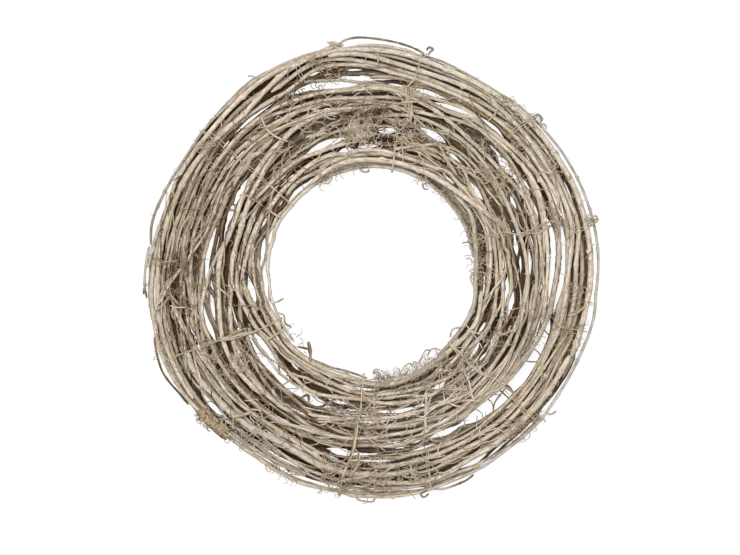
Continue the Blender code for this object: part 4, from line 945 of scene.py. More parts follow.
# %% Their routes
THIN_CANES = (
    ("pale", 4, 13, ((5, 172), (10, 174), (15, 176), (20, 178), (25, 180), (30, 180), (35, 178))),
    ("grey", 3, 12, ((335, 171), (345, 169), (355, 168), (365, 169), (370, 170), (373, 172))),
    ("sand", 2.5, None, ((60, 153), (68, 150), (75, 158), (80, 168), (83, 176))),
    ("grey", 3, 11, ((83, 184), (90, 186), (95, 188), (100, 191), (105, 194), (110, 198))),
    ("grey", 3, 13, ((141, 166), (145, 165.5), (155, 168), (160, 167))),
    ("green", 4, 13, ((345, 140), (355, 138.5), (360, 137), (368, 134), (375, 133), (380, 131))),
    ("sand", 4, 12, ((115, 111), (120, 111.5), (125, 112.6), (130, 113.8), (135, 113.8),
        (140, 112.6))),
    ("pale", 3, None, ((48, 125), (55, 130), (60, 137), (62, 139.5))),
    ("sand", 3, None, ((60, 141), (65, 136), (70, 130), (75, 125), (80, 121))),
    ("green", 6, 15, ((185, 131), (190, 129), (195, 127), (200, 122))),
    ("pale", 3, None, ((275, 131), (285, 132), (290, 134.5), (295, 138), (300, 139))),
    ("sand", 3, 12, ((310, 131), (315, 128), (320, 125.5))),
    ("pale", 2, None, ((343, 115), (348, 120.5), (353, 127), (355, 129.5))),
    ("pale", 4, 14, ((109, 143), (113, 145), (117, 147))),
    ("sand", 3, 11, ((36, 134.4), (44, 133), (52, 133.6), (60, 132))),
    ("sand", 3, 11, ((38, 143), (48, 144.5), (58, 145))),
    ("grey", 2.4, 12, ((42, 139), (50, 141.6), (57, 141))),
    ("pale", 2.2, 13, ((26, 141), (34, 139), (42, 137), (50, 135.4))),
    ("brown", 3.5, 9, ((120, 137), (128, 140), (137, 142))),
    ("dark", 2, None, ((161, 113), (166, 117), (172, 120))),
    ("grey", 5.4, 11, ((352, 182), (358, 184), (363, 185.4), (368, 186.8), (375, 189.6),
        (381, 189))),
    ("grey", 3.6, 12, ((78.5, 218.6), (82, 220.2), (86, 221.8), (90, 222.4), (94, 221.8),
        (98, 220.8))),
    ("sand", 3.4, 11, ((76, 216.8), (81, 218), (86, 219.6), (91, 220.6), (95.5, 221))),
    ("sand", 3.4, 9, ((117, 221.6), (121, 223), (125, 222.8), (129, 220.8), (133, 219.4),
        (136.5, 218.4))),
    ("grey", 3.4, 9, ((176, 221), (180, 222.8), (184, 224.4), (188, 225.4), (192, 226),
        (195.5, 226.2))),
    ("sand", 2.6, 9, ((194, 224.2), (200, 224.3), (206, 224.4), (213, 224.2))),
    ("brown", 4, 9, ((211, 225.6), (216, 226.4), (221, 227.2), (225, 227.2), (229.5, 226.2))),
    ("sand", 4, 9, ((25, 146), (30, 146.2), (35, 146.4), (39, 146.8), (44, 147.6))),
    ("sand", 3.4, 10, ((43, 149), (50, 150.4), (57, 152), (64.5, 153))),
    ("sand", 3.4, 9, ((175, 112.4), (183, 112.2), (191, 112.6), (199, 112), (206, 111))),
    ("sand", 3.4, 9, ((47, 113), (53, 113.4), (58, 113.2), (63, 112.6))),
    ("grey", 4, 9, ((306, 110), (312, 108.6), (318, 107.9), (324, 107.6), (330, 107.6))),
    ("sand", 3.6, 10, ((205, 141.6), (210, 144.4), (215, 146.6), (220, 147.8), (224.5, 149))),
    ("sand", 3, 9, ((50, 119.5), (60, 119.8), (70, 120), (80, 121))),
    ("pale", 3.8, 12, ((60, 101.4), (70, 101.6), (85, 101.8), (100, 101.8), (115, 101.7),
        (125, 101.9), (135, 102.4), (145, 103.4), (155, 104.6), (165, 105.2), (175, 105.4),
        (182, 105.6))),
    ("pale", 2.6, 12, ((175, 105.4), (185, 105.9), (195, 106.1), (203, 106), (210, 106.3),
        (216, 106.9), (223, 108))),
    ("grey", 2.2, 8, ((234, 111), (238, 109.6), (242, 108.6), (246, 108), (250, 107.5))),
    ("grey", 2.2, 8, ((249, 107.6), (254, 107), (258, 107.2), (262, 108.2), (267, 111))),
    ("grey", 2.6, 9, ((234, 220), (242, 222), (248, 224.3), (254, 224.9), (260, 225.4),
        (266, 226))),
    ("sand", 3.4, 10, ((57, 129), (62, 128), (67, 127), (73, 126))),
    ("brown", 3, 9, ((184, 157), (192, 157.5), (198, 152), (204, 148))),
    ("sand", 3, 10, ((326, 133.5), (333, 133.8), (340, 131.8), (346, 132), (352, 130))),
    ("brown", 4, 9, ((207, 223), (214, 222), (220, 222), (227, 221.5))),
    ("grey", 3, 9, ((282, 224), (290, 222), (297, 222), (303, 224), (310, 224.4), (318, 224))),
    ("dark", 3.6, 9, ((310, 218.5), (316, 219.8), (322, 220), (330, 220.5), (337, 221.2))),
    ("pale", 3, 10, ((284, 219), (288, 220.2), (294, 222.2))),
    ("pale", 3, 10, ((301, 216.2), (308, 215.8), (316, 218))),
    ("pale", 4, 12, ((8, 168), (14, 169.5), (20, 171), (30, 173))),
    ("pale", 3.5, 14, ((134, 187), (145, 187), (155, 186), (166, 189), (176, 192), (186, 193))),
    ("sand", 3, 13, ((140, 183.5), (150, 182), (160, 184), (170, 187), (178, 190))),
    ("brown", 3, 10, ((146, 199), (155, 200.5), (165, 201), (175, 205), (182, 207))),
    ("grey", 3.5, 13, ((150, 172.5), (160, 173), (168, 176), (176, 181), (184, 181.5), (192, 182))),
    ("sand", 3.5, 14, ((184, 190), (192, 191), (199, 195), (204, 198), (212, 198), (224, 197))),
    ("pink", 2.6, None, ((185, 208), (190, 204), (196, 199), (202, 195), (209, 192.5))),
    ("pink", 2.2, None, ((198, 200), (202, 203), (206, 208), (209, 212.5))),
    ("pale", 3.5, 13, ((178, 181), (186, 180.5), (192, 182), (200, 187), (206, 188.5), (214, 188))),
    ("sand", 3, 12, ((190, 150), (198, 152), (206, 153), (214, 152), (222, 150), (230, 152))),
    ("grey", 3, 11, ((206, 155), (214, 156), (220, 160), (228, 163), (236, 164))),
    ("pale", 3.5, 13, ((196, 133), (204, 131), (210, 128), (216, 125), (224, 124.5), (234, 124))),
    ("sand", 3, 12, ((193, 118), (202, 120), (210, 119), (220, 120), (232, 118.5))),
    ("pale", 3, 13, ((226, 196), (234, 198), (242, 198), (250, 200), (256, 204), (262, 208))),
    ("sand", 3, 14, ((236, 186), (244, 187), (252, 190), (258, 194), (264, 200))),
    ("grey", 3, 12, ((244, 178), (252, 180), (260, 179), (268, 177), (276, 178), (284, 178),
        (290, 176))),
    ("pink", 3, None, ((250, 160), (256, 156), (261, 152), (264, 151))),
    ("sand", 3, 12, ((232, 130), (242, 128), (252, 128), (262, 130), (272, 131), (282, 134),
        (292, 138))),
    ("grey", 3, 11, ((262, 161), (272, 160), (282, 163), (292, 165), (300, 167), (308, 165))),
    ("pale", 3, 13, ((268, 172), (280, 174), (292, 173), (304, 171), (316, 173), (326, 176))),
    ("sand", 3, 12, ((284, 208), (292, 207), (300, 204), (310, 205), (320, 207), (330, 206),
        (340, 205))),
    ("pale", 3, 12, ((296, 190.5), (306, 190), (316, 190), (326, 190), (336, 191), (346, 192),
        (354, 190))),
    ("grey", 3, 12, ((308, 169), (318, 167), (328, 166), (338, 166), (348, 162), (356, 161))),
    ("sand", 3, 11, ((300, 145), (308, 146), (316, 146), (324, 145), (330, 142), (338, 139))),
    ("brown", 3, 8, ((8, 102.7), (20, 103.2), (35, 102.8), (50, 102.4), (60, 102.6))),
    ("sand", 4, 10, ((72, 190.5), (78, 191), (84, 191.8), (91, 190.4))),
    ("grey", 4, 10, ((78, 175.5), (86, 175.7), (92, 176.2), (98, 178), (104, 181))),
    ("brown", 5, 9, ((65, 142.2), (70, 143.6), (75, 145.6), (80, 147), (86, 147))),
    ("sand", 3, 11, ((69, 150), (76, 150.5), (82, 151), (90, 150))),
    ("sand", 4, 10, ((60, 133), (66, 132), (72, 131), (78, 129))),
    ("brown", 4, 8, ((42, 124), (50, 124.5), (58, 124), (66, 123))),
    ("pale", 5, 12, ((79, 115.2), (90, 114.6), (100, 114.2), (110, 113.8), (118, 113.8))),
    ("pale", 3.6, 11, ((86, 118.3), (96, 117.6), (106, 117.4), (116, 117.2), (126, 117))),
    ("pale", 4, 12, ((86, 105), (98, 105), (110, 105.2), (122, 105.6))),
    ("gold", 5, 13, ((100, 174.5), (106, 173.5), (112, 173), (120, 172.4), (128, 173), (137, 176))),
    ("sand", 3.4, 12, ((103, 163.5), (110, 166), (118, 166.2), (128, 166), (137, 169))),
    ("green", 4.5, 12, ((98, 159), (104, 161.5), (112, 162), (120, 160.5), (126, 158))),
    ("grey", 6, 12, ((128, 162.5), (138, 162.2), (148, 162.4), (158, 162.6), (164, 163),
        (167, 164.5))),
    ("sand", 4, 12, ((128, 168.5), (140, 168), (150, 168.6), (160, 170), (168, 172.5))),
    ("grey", 4, 11, ((162, 168), (168, 169.3), (176, 171), (182, 172), (189, 173.5))),
    ("sand", 3.6, 10, ((172, 168.8), (180, 170.6), (188, 171.4), (193, 171.8))),
    ("pink", 5, 11, ((152, 121.6), (160, 122), (170, 123), (180, 122))),
    ("pale", 4, 13, ((176, 187.5), (186, 187), (194, 188), (200, 190))),
    ("dark", 5, 6, ((190, 156), (198, 157), (206, 159.5))),
    ("dark", 4, 8, ((192, 159.2), (199, 158.8), (207, 160.5))),
    ("brown", 3.4, 8, ((222, 182), (230, 182.2), (238, 182))),
    ("sand", 4, 10, ((260, 225.4), (267, 225.9), (274, 226.7), (280, 227.8))),
    ("grey", 4, 9, ((283, 226), (290, 225), (297, 224.6))),
    ("pale", 3, 9, ((286, 212.2), (293, 211.6), (300, 209.6), (308, 210.2), (316, 210.4))),
    ("sand", 3, 9, ((298, 213), (304, 212.2), (311, 212.8))),
    ("brown", 3, 9, ((225, 208.5), (235, 208.2), (245, 208.4), (255, 209.4))),
    ("grey", 3.5, 10, ((209, 201.4), (216, 201.5), (223, 200.8))),
    ("sand", 3, 10, ((330, 219.3), (336, 218.9), (342, 219))),
    ("grey", 3, 10, ((329, 174), (337, 173.8), (344, 172.6))),
    ("grey", 3, 9, ((119, 182.6), (128, 182.2), (137, 182.4))),
    ("brown", 3, 8, ((117, 189), (126, 189.3), (135, 188.8))),
    ("brown", 2.4, 9, ((102, 130), (110, 130.4), (118, 131), (123, 131.8))),
    ("pink", 2.6, 15, ((146, 199.3), (156, 201), (166, 202), (176, 204.4))),
    ("sand", 2, 15, ((146, 194.3), (156, 194), (166, 195.4), (176, 197))),
    ("sand", 2, 14, ((144, 189.8), (154, 189.6), (164, 190.4), (174, 191))),
    ("grey", 3, 12, ((160, 181.6), (170, 182.3), (180, 182.6))),
    ("sand", 4.4, 13, ((97.5, 225), (101, 224.2), (105, 222), (110, 219), (114, 215.5))),
    ("pale", 3, 12, ((114, 195.5), (118, 196.6), (124, 197.2), (132, 197))),
    ("sand", 3, 12, ((322, 128), (330, 129), (338, 130), (346, 129), (354, 126), (364, 125))),
    ("pale", 3, 12, ((318, 118), (328, 119), (338, 118), (348, 117), (358, 115), (368, 113))),
)


LONG_WAY = 20
ROUTE_BOW = 3.0


def routed(row, sides=8, pace=1.6, slope=0.5):
    """A tube along a row's route. With no height given, it lies over what is on the map. Where it goes
    more than LONG_WAY degrees round, it bows round the gaps."""
    tint, width, height, route = row
    azimuth, radius = np.array(route, float).T
    run = np.hypot(np.diff(radius), np.radians(np.diff(azimuth)) * radius[1:])
    along = np.concatenate(([0], np.cumsum(run)))
    s = np.linspace(0, along[-1], max(6, int(along[-1] / pace)))
    turn = np.radians(smooth_curve(s, along, azimuth))
    joints = np.arange(-10, along[-1] + 40, rng.uniform(16, 30))
    r = smooth_curve(s, along, radius)
    if np.ptp(azimuth) > LONG_WAY:
        r = bowed_round_gaps(np.degrees(turn)[None], r[None], np.array([width / 2]), ROUTE_BOW, True)[0]
    r = r + np.interp(s, joints, 0.3 * rng.normal(size=len(joints)))
    x, y = r * np.cos(turn), r * np.sin(turn)
    half = 0.5 * width * (1 + 0.25 * np.exp(-((s[:, None] - joints) / 1.6) ** 2).sum(axis=1))
    half *= np.clip(np.minimum(s, along[-1] - s) / (2.5 * width) + 0.55, 0, 1)
    half *= 1 + 0.05 * rng.normal(size=len(s))
    z = laid_over(x[None], y[None], slope)[0] + 0.7 * half if height is None else height + 0 * s
    path = np.stack((x, y, np.maximum(z, half + FLOOR_GAP)), -1)[None]
    return tube_set(path, half[None], sides, stained_and_depth_shaded(path, shades(tint, len(s), 0.08)[None]))


parts = joined([routed(row) for row in THIN_CANES])
make_piece("thin_canes", parts, CANE_BARK)
press(parts)
print("thin canes:", len(THIN_CANES))

# %% [markdown]
# ## Shoots and twigs
# Side shoots stand off the canes, cross the gaps and hang into the hole. They lie over what is
# below them, and where nothing is, they sink slowly towards the floor.

# %% Their routes
TWIGS = (
    ("grey", 2.2, None, ((79.4, 225), (82, 227), (86, 229.3), (90, 231.2), (94, 232), (97, 230),
        (99, 226.5))),
    ("grey", 2.4, None, ((76.4, 220), (77.6, 222.6), (79.6, 225.2))),
    ("grey", 3.4, None, ((98.6, 225), (99.6, 228), (100.6, 230.4))),
    ("hoop", 1.6, None, ((265.6, 227), (265.9, 231), (268, 234), (270.2, 232.6), (270.6, 229))),
    ("dark", 1.8, None, ((283.8, 228), (281.9, 232), (282.4, 235), (283.9, 233))),
    ("grey", 2, None, ((285.5, 229.5), (288, 232), (291, 233.2), (294, 233), (296, 231))),
    ("brown", 2.2, None, ((197.5, 229), (200, 231.4), (203, 234), (206, 235.6), (209, 234.4),
        (213, 231.6), (216.5, 230.4))),
    ("grey", 2, None, ((38.8, 222.6), (39.6, 224.4), (40.8, 221.6))),
    ("grey", 2, None, ((40.9, 222.4), (41.9, 226.6), (43, 226), (43.3, 221))),
    ("gold", 1.8, None, ((11, 219), (11.3, 225), (12.2, 230), (13.3, 228.4), (12.7, 224),
        (13.4, 219))),
    ("pale", 1.6, None, ((300.5, 145), (301, 149), (303, 150), (304.7, 148), (304.2, 144),
        (302.6, 142.6), (301.7, 144.4), (302.6, 146.8))),
    ("pale", 2.4, None, ((211.5, 161.5), (214, 166.5), (216.5, 168), (218.4, 165), (218, 160.5),
        (216.5, 157.5))),
    ("pale", 1.6, None, ((237.4, 129), (238.4, 132.4), (240, 132.8), (241, 130.4))),
    ("gold", 2, None, ((114.1, 149.5), (115, 154.2), (116.6, 155.4), (118.1, 152.6),
        (117.6, 149.6))),
    ("brown", 1.8, None, ((226.4, 109), (229, 105.6), (232.4, 103))),
    ("grey", 2.2, None, ((99, 221), (100, 226), (101.5, 231))),
    ("grey", 2, None, ((121.5, 222), (122, 226), (123, 229.5))),
    ("grey", 2.2, None, ((184, 227), (185, 230), (186.5, 232))),
    ("grey", 2, None, ((320, 226), (320.5, 230), (322, 233))),
    ("grey", 2.4, None, ((174.5, 224.6), (178, 226.4), (182, 228.6), (185, 229.9), (187.6, 229.4))),
    ("grey", 2.2, None, ((75.4, 220), (75.2, 224), (74.6, 227.5), (75.8, 228.5), (76.2, 225))),
    ("brown", 2.8, None, ((236.5, 113), (234.5, 108), (232.4, 103), (229, 98))),
    ("grey", 1.5, None, ((277, 117), (277.5, 110), (275, 104), (271, 102), (270, 106))),
    ("grey", 1.5, None, ((284, 116), (285, 108), (288, 103), (291, 102), (292, 106))),
    ("grey", 1.5, None, ((297, 113), (296, 106), (299, 101), (303, 98), (305, 101))),
    ("grey", 1.5, None, ((309, 112.5), (309, 105), (306, 100), (302, 103))),
    ("grey", 1.3, None, ((98, 103), (97, 98), (94, 96), (92, 98))),
    ("grey", 1.3, None, ((114, 104), (115, 98), (118, 96), (120, 98))),
    ("grey", 1.3, None, ((58, 101.5), (59, 97), (57, 95), (55, 97))),
    ("green", 3.4, None, ((286, 180), (288, 170), (289, 160), (291, 148), (293, 135))),
    ("pale", 2.4, None, ((307, 172), (308, 160), (310, 150), (311.5, 138), (313, 131))),
    ("grey", 2.4, 9, ((157, 149), (157.8, 154), (157.4, 159))),
    ("grey", 2.2, 9, ((155.2, 150), (155.6, 153), (155, 157))),
    ("sand", 1.8, None, ((106.5, 161), (109, 166), (112, 171))),
    ("sand", 2, None, ((134, 141), (136.5, 137), (139, 133))),
    ("green", 2.2, None, ((158, 113), (155, 115), (152, 117))),
    ("gold", 2.6, None, ((191, 197), (188, 204), (190, 213), (191, 220))),
    ("pale", 2.4, None, ((181, 193), (184, 202), (186, 207), (188, 212), (189.5, 217))),
    ("pale", 2, None, ((190.5, 206), (191.5, 198), (192, 190), (193.5, 184))),
    ("grey", 1.8, None, ((185, 161), (187, 156), (190, 149), (192, 146))),
    ("gold", 4, None, ((204.5, 168), (206, 160), (206.5, 150), (207.5, 141), (209, 133))),
    ("sand", 2.2, None, ((204.5, 170), (205.3, 160), (205, 150), (205.5, 141))),
    ("green", 3, None, ((226, 206), (227.5, 200), (229, 193), (230, 188))),
    ("sand", 2, None, ((229, 187), (231.5, 182), (234, 187))),
    ("sand", 1.8, None, ((255, 166), (256.5, 159), (259, 164))),
    ("gold", 2.4, None, ((261.5, 230), (261.6, 218), (262, 206), (263, 196))),
    ("sand", 2, None, ((263.5, 208), (265.5, 198), (266, 190), (264, 180))),
    ("brown", 4, None, ((263, 192), (263.5, 186), (264, 178), (264, 168), (264.5, 152),
        (265, 140))),
    ("gold", 1.8, None, ((270.3, 226), (270.6, 210), (270.8, 195))),
    ("sand", 1.6, None, ((270, 158), (270.2, 146), (270.5, 128), (271, 112))),
    ("sand", 2.2, None, ((284, 185), (286, 181), (287.5, 176))),
    ("sand", 2.2, None, ((291.5, 187), (289, 182), (287.5, 176))),
    ("dark", 1, 9, ((299.5, 187), (300.5, 182), (301, 175))),
    ("dark", 0.9, 9, ((306, 188), (306.8, 182), (306, 174))),
    ("dark", 1.6, 10, ((310, 187), (312, 182), (315, 180), (318, 179))),
    ("dark", 1, 9, ((310.8, 184), (311.5, 179), (311, 173))),
    ("brown", 3, 11, ((318.2, 192), (318.4, 184), (318.2, 176), (318, 172))),
    ("dark", 1.2, 9, ((318.4, 188), (319, 182), (318.4, 174))),
    ("sand", 2, None, ((318.5, 176), (318, 167), (317, 160), (317, 152))),
    ("dark", 1.2, 9, ((330.5, 190), (329.5, 185), (328.7, 179))),
    ("dark", 1.2, 9, ((332.3, 190), (333, 186), (333.3, 181))),
    ("dark", 1.2, 9, ((338.8, 190), (339.6, 185), (340.2, 181))),
    ("dark", 1.2, 9, ((344, 190), (344.4, 185), (344, 180))),
    ("gold", 3, None, ((343, 205), (342.5, 198), (343.4, 191))),
    ("gold", 2.4, None, ((349.5, 214), (347.5, 209), (346.2, 201))),
    ("grey", 1.4, None, ((318.2, 232), (318.6, 226), (318.2, 220))),
    ("sand", 1.8, None, ((144.2, 200), (144.6, 206), (144.8, 213))),
    ("sand", 1.8, None, ((150.2, 148), (150.2, 138), (150.6, 126))),
    ("grey", 2, None, ((151, 124), (151.3, 114), (151.5, 104))),
    ("pale", 3, None, ((157, 174), (163, 172), (168, 175), (172, 181), (178, 188))),
    ("sand", 1.6, None, ((189, 206), (185, 209), (183, 202))),
    ("grey", 2.4, 10, ((228, 208), (224, 213), (222.5, 216))),
    ("dark", 2.4, 10, ((241, 148), (242.8, 143), (244.5, 149))),
    ("grey", 1.8, 9, ((231, 139), (232.5, 136), (234, 139))),
    ("grey", 1.8, 9, ((225.5, 135), (227, 138), (228, 140))),
    ("dark", 1.8, 8, ((270.5, 142), (271, 146), (271.6, 149))),
    ("dark", 1.8, 8, ((276.5, 141), (277, 145), (276.6, 150))),
    ("sand", 2, None, ((214, 130), (214.4, 120), (214.5, 107))),
    ("grey", 1.6, None, ((228.5, 99), (231, 103), (233, 107))),
    ("sand", 2, None, ((300, 121), (303, 123), (306, 126), (306.5, 130))),
    ("sand", 2, None, ((305, 128), (304.6, 121), (306, 116))),
    ("pale", 2.4, None, ((315.6, 152), (315.3, 138), (315.7, 124), (315.5, 110))),
    ("sand", 1.8, None, ((336, 150), (335, 153), (338, 155), (341, 153))),
    ("grey", 2, None, ((325, 128), (328, 130), (333, 131))),
    ("sand", 1.6, None, ((352, 112), (354, 115), (357, 113), (358, 107))),
    ("grey", 1.8, None, ((350, 101.5), (354, 97.5), (358, 100))),
    ("grey", 1.6, None, ((318, 104), (322, 101), (326, 106))),
    ("grey", 1.8, None, ((199.5, 104), (199.3, 99), (198.8, 95))),
    ("grey", 1.6, None, ((205, 105), (208, 101), (212, 104), (216, 101))),
    ("gold", 2, None, ((79, 187), (78, 180), (77, 170), (76, 160), (75.5, 148))),
    ("gold", 1.8, None, ((80.5, 186), (79.5, 178), (78.6, 168), (78.8, 158))),
    ("gold", 2, None, ((126.5, 187), (127.4, 176), (126, 160), (124, 152))),
    ("sand", 1.6, None, ((13.2, 182), (12, 168), (13.4, 152))),
    ("gold", 1.8, None, ((29, 187), (29.7, 195), (28, 201), (30, 211))),
    ("sand", 1.8, None, ((52, 186), (51.6, 196), (52.5, 206))),
    ("gold", 1.8, None, ((88.5, 203), (88.8, 215))),
    ("gold", 2.2, None, ((281, 199), (280.6, 208), (281.5, 218))),
)
parts = joined([routed(row, sides=6, pace=1.0, slope=0.6) for row in TWIGS])
make_piece("shoots_and_twigs", parts, TWIG_BARK)
press(parts)
print("shoots and twigs:", len(TWIGS))

# %% [markdown]
# Many more cross the canes at a small angle. Their places are drawn at random in patches of the
# ring, and each is a slightly bent line: its radius changes by a slope times the way round, plus a
# slow sine.

# %% Slanting shoots
# A row is a patch's azimuths and radii, the number of shoots, their length, half width and colour,
# and, if given, how steeply they may cross the canes.
SLANTING = (
    (0, 360, 112, 216, 30, 38, 0.8, "sand"), (0, 360, 112, 216, 36, 34, 0.7, "brown"),
    (140, 212, 178, 218, 9, 44, 1, "sand"), (150, 205, 178, 214, 12, 40, 0.8, "brown"),
    (225, 300, 196, 222, 14, 36, 0.9, "pale"), (0, 60, 112, 180, 8, 34, 0.9, "sand"),
    (300, 360, 112, 170, 10, 36, 0.9, "pale"), (60, 130, 120, 182, 10, 34, 0.9, "sand"),
    (240, 300, 140, 178, 10, 36, 0.9, "pale"), (0, 360, 112, 218, 80, 10, 0.55, "brown", 1.1),
    (0, 360, 112, 218, 46, 10, 0.55, "sand", 1.1), (130, 235, 178, 220, 24, 13, 0.6, "brown", 0.9),
    (60, 130, 140, 190, 24, 11, 0.55, "sand", 1), (250, 300, 140, 222, 34, 11, 0.6, "gold", 1.2),
    (0, 60, 140, 215, 22, 11, 0.55, "gold", 1.2), (215, 245, 190, 222, 14, 10, 0.55, "pale", 1.2),
    (285, 345, 112, 160, 30, 11, 0.6, "pale", 1), (225, 315, 126, 218, 70, 15, 0.6, "pale", 0.7),
    (225, 315, 126, 218, 50, 12, 0.55, "brown", 0.9),
    (265, 318, 124, 176, 24, 18, 0.8, "pale", 0.5), (60, 120, 112, 176, 30, 15, 0.6, "pale", 0.7),
    (10, 62, 122, 168, 36, 14, 0.6, "sand", 0.5), (95, 135, 135, 182, 36, 14, 0.6, "sand", 0.5),
    (135, 185, 112, 222, 40, 12, 0.5, "brown", 0.5),
    # The deep rows are near-black shoots laid over the face: painted shade, for the dark lines between the
    # canes.
    (142, 190, 120, 216, 60, 18, 0.6, "deep", 0.12), (56, 80, 124, 154, 22, 15, 0.7, "sand", 0.35),
    (190, 240, 120, 216, 30, 14, 0.5, "deep", 0.3), (40, 60, 180, 214, 16, 14, 0.45, "deep", 0.2),
)


def slanting(first, last, inner, outer, count, length, half, tint, steep=0.22, rings=20):
    """Lines that leave the ring's own direction by a slope drawn at random, laid over the wreath."""
    azimuth = rng.uniform(first, last, (count, 1))
    radius = rng.uniform(inner, outer, (count, 1))
    size = length * rng.uniform(0.5, 1.5, (count, 1))
    t = np.linspace(-0.5, 0.5, rings)
    slope = rng.normal(0, steep, (count, 1))
    waver = np.sin(5 * t * rng.uniform(0.5, 2, (count, 1)) + 7 * rng.random((count, 1)))
    r = radius + slope * size * t + 1.2 * waver
    r = r + rng.normal(0, 0.12, (count, rings))
    turn = np.radians(azimuth) + size * t / radius
    r = bowed_round_gaps(np.degrees(turn), r, np.full(count, half), ROUTE_BOW, True)
    x, y = r * np.cos(turn), r * np.sin(turn)
    halves = half * rng.uniform(0.7, 1.3, (count, 1)) * (1 - 0.5 * np.abs(t))
    halves = halves * (1 + 0.10 * rng.normal(size=(count, rings)))
    z = laid_over(x, y, 0.6) + 0.6 * halves
    paths = np.stack((x, y, z), -1)
    colours = np.stack([shades(tint, rings, 0.14) for _ in range(count)])
    return tube_set(paths, halves, 5, stained_and_depth_shaded(paths, colours))


parts = joined([slanting(*row) for row in SLANTING])
make_piece("slanting_shoots", parts, TWIG_BARK)
press(parts)
print("slanting shoots:", sum(row[4] for row in SLANTING))

# %% [markdown]
# ## The strands that hold it
# Six strands go right round the whole ring and six round its outer part. Each was wound twice, a
# little aslant, and lies on whatever is below it. Underneath it goes straight across.

# %% Strands
STRANDS = {
    "binding_right": ((15.9, 94), (15.3, 112), (15.2, 136), (12.2, 150), (12.8, 165), (14.2, 176),
        (14.7, 185), (12, 195), (10.8, 204), (10.9, 212), (11.7, 221), (12.5, 230)),
    "binding_top": ((79.3, 99), (79.6, 118), (79.4, 138), (76.4, 149), (76.5, 158), (78, 172),
        (79.2, 184), (77.2, 193), (77, 203), (77.3, 213), (76.5, 222)),
    "binding_upper_left": ((141.8, 102), (141.5, 150), (140.9, 178), (140.3, 195), (140.2, 210),
        (141.3, 222)),
    "binding_lower_left": ((209, 105), (208.4, 128), (207.2, 148), (206, 160), (204.8, 171),
        (204.5, 185), (204.3, 213), (205, 228)),
    "binding_bottom": ((265.6, 107), (265, 135), (264, 156), (263.8, 184), (262.9, 196),
        (262, 208), (261.8, 230)),
    "binding_lower_right": ((315.7, 107), (315.4, 124), (315.5, 140), (316.2, 154), (317.4, 164),
        (317.4, 190), (316.6, 205), (316.5, 226)),
    "outer_binding_1": ((43.8, 189), (43.4, 205), (42.9, 225)),
    "outer_binding_2": ((111, 197), (111.1, 208), (110.1, 223)),
    "outer_binding_3": ((178, 195), (178.2, 212), (177.6, 224)),
    "outer_binding_4": ((235.2, 186), (234.5, 205), (233.8, 224)),
    "outer_binding_5": ((286.5, 190), (285.4, 205), (285, 229)),
    "outer_binding_6": ((343.8, 190), (343, 205), (343, 224)),
}


STRAND_HALF = 0.42
SWAYS = (0.1, 0.7)
POINTS_BELOW = 40


def strand(route, sway, half=STRAND_HALF):
    """One turn of a strand: over the top on the map's heights, down, back below the canes, and up. It
    sways from its route by a slow sine of sway degrees and a finer waver."""
    azimuth, radius = np.array(route, float).T
    inner, outer = radius[0], radius[-1]
    r = np.arange(inner, outer, 0.9)
    waver = 0.25 * np.sin(0.08 * r + 7 * rng.random()) + 0.12 * np.sin(0.25 * r + 7 * rng.random())
    at = np.radians(np.interp(r, radius, azimuth) + sway * np.sin(0.05 * r + 7 * rng.random()) + waver)
    x, y = r * np.cos(at), r * np.sin(at)
    z = laid_over(x[None], y[None], 1.0)[0] + 0.75 * half
    back_r = np.linspace(outer + 0.8, inner - 0.8, POINTS_BELOW)
    back_at = np.linspace(at[-1], at[0], POINTS_BELOW)
    depth = np.full(POINTS_BELOW, half + FLOOR_GAP)
    below = np.stack((back_r * np.cos(back_at), back_r * np.sin(back_at), depth), -1)
    path = np.concatenate((np.stack((x, y, z), -1), below, [[x[0], y[0], z[0] - 1.0]]))[None]
    halves = np.full(path.shape[:2], half)
    return tube_set(path, halves, 6, stained_and_depth_shaded(path, shades("sand", path.shape[1], 0.12)[None]))


for name, route in STRANDS.items():
    parts = joined([strand(route, sway) for sway in SWAYS])
    make_piece("fine_" + name, parts, STRAND_SKIN, [name])
    press(parts)
print("strands:", len(STRANDS))

# %% [markdown]
# ## Tendrils
# Fine tendrils grow from the canes and curl as they dry. A tendril's direction turns slowly at first
# and faster towards its tip, which winds it up, and it wavers on the way. Each row is a patch of the
# ring: its azimuths and radii, how many tendrils it has, their length, how tightly they end, their
# half width, their colour and how far they rise off what they lie on.

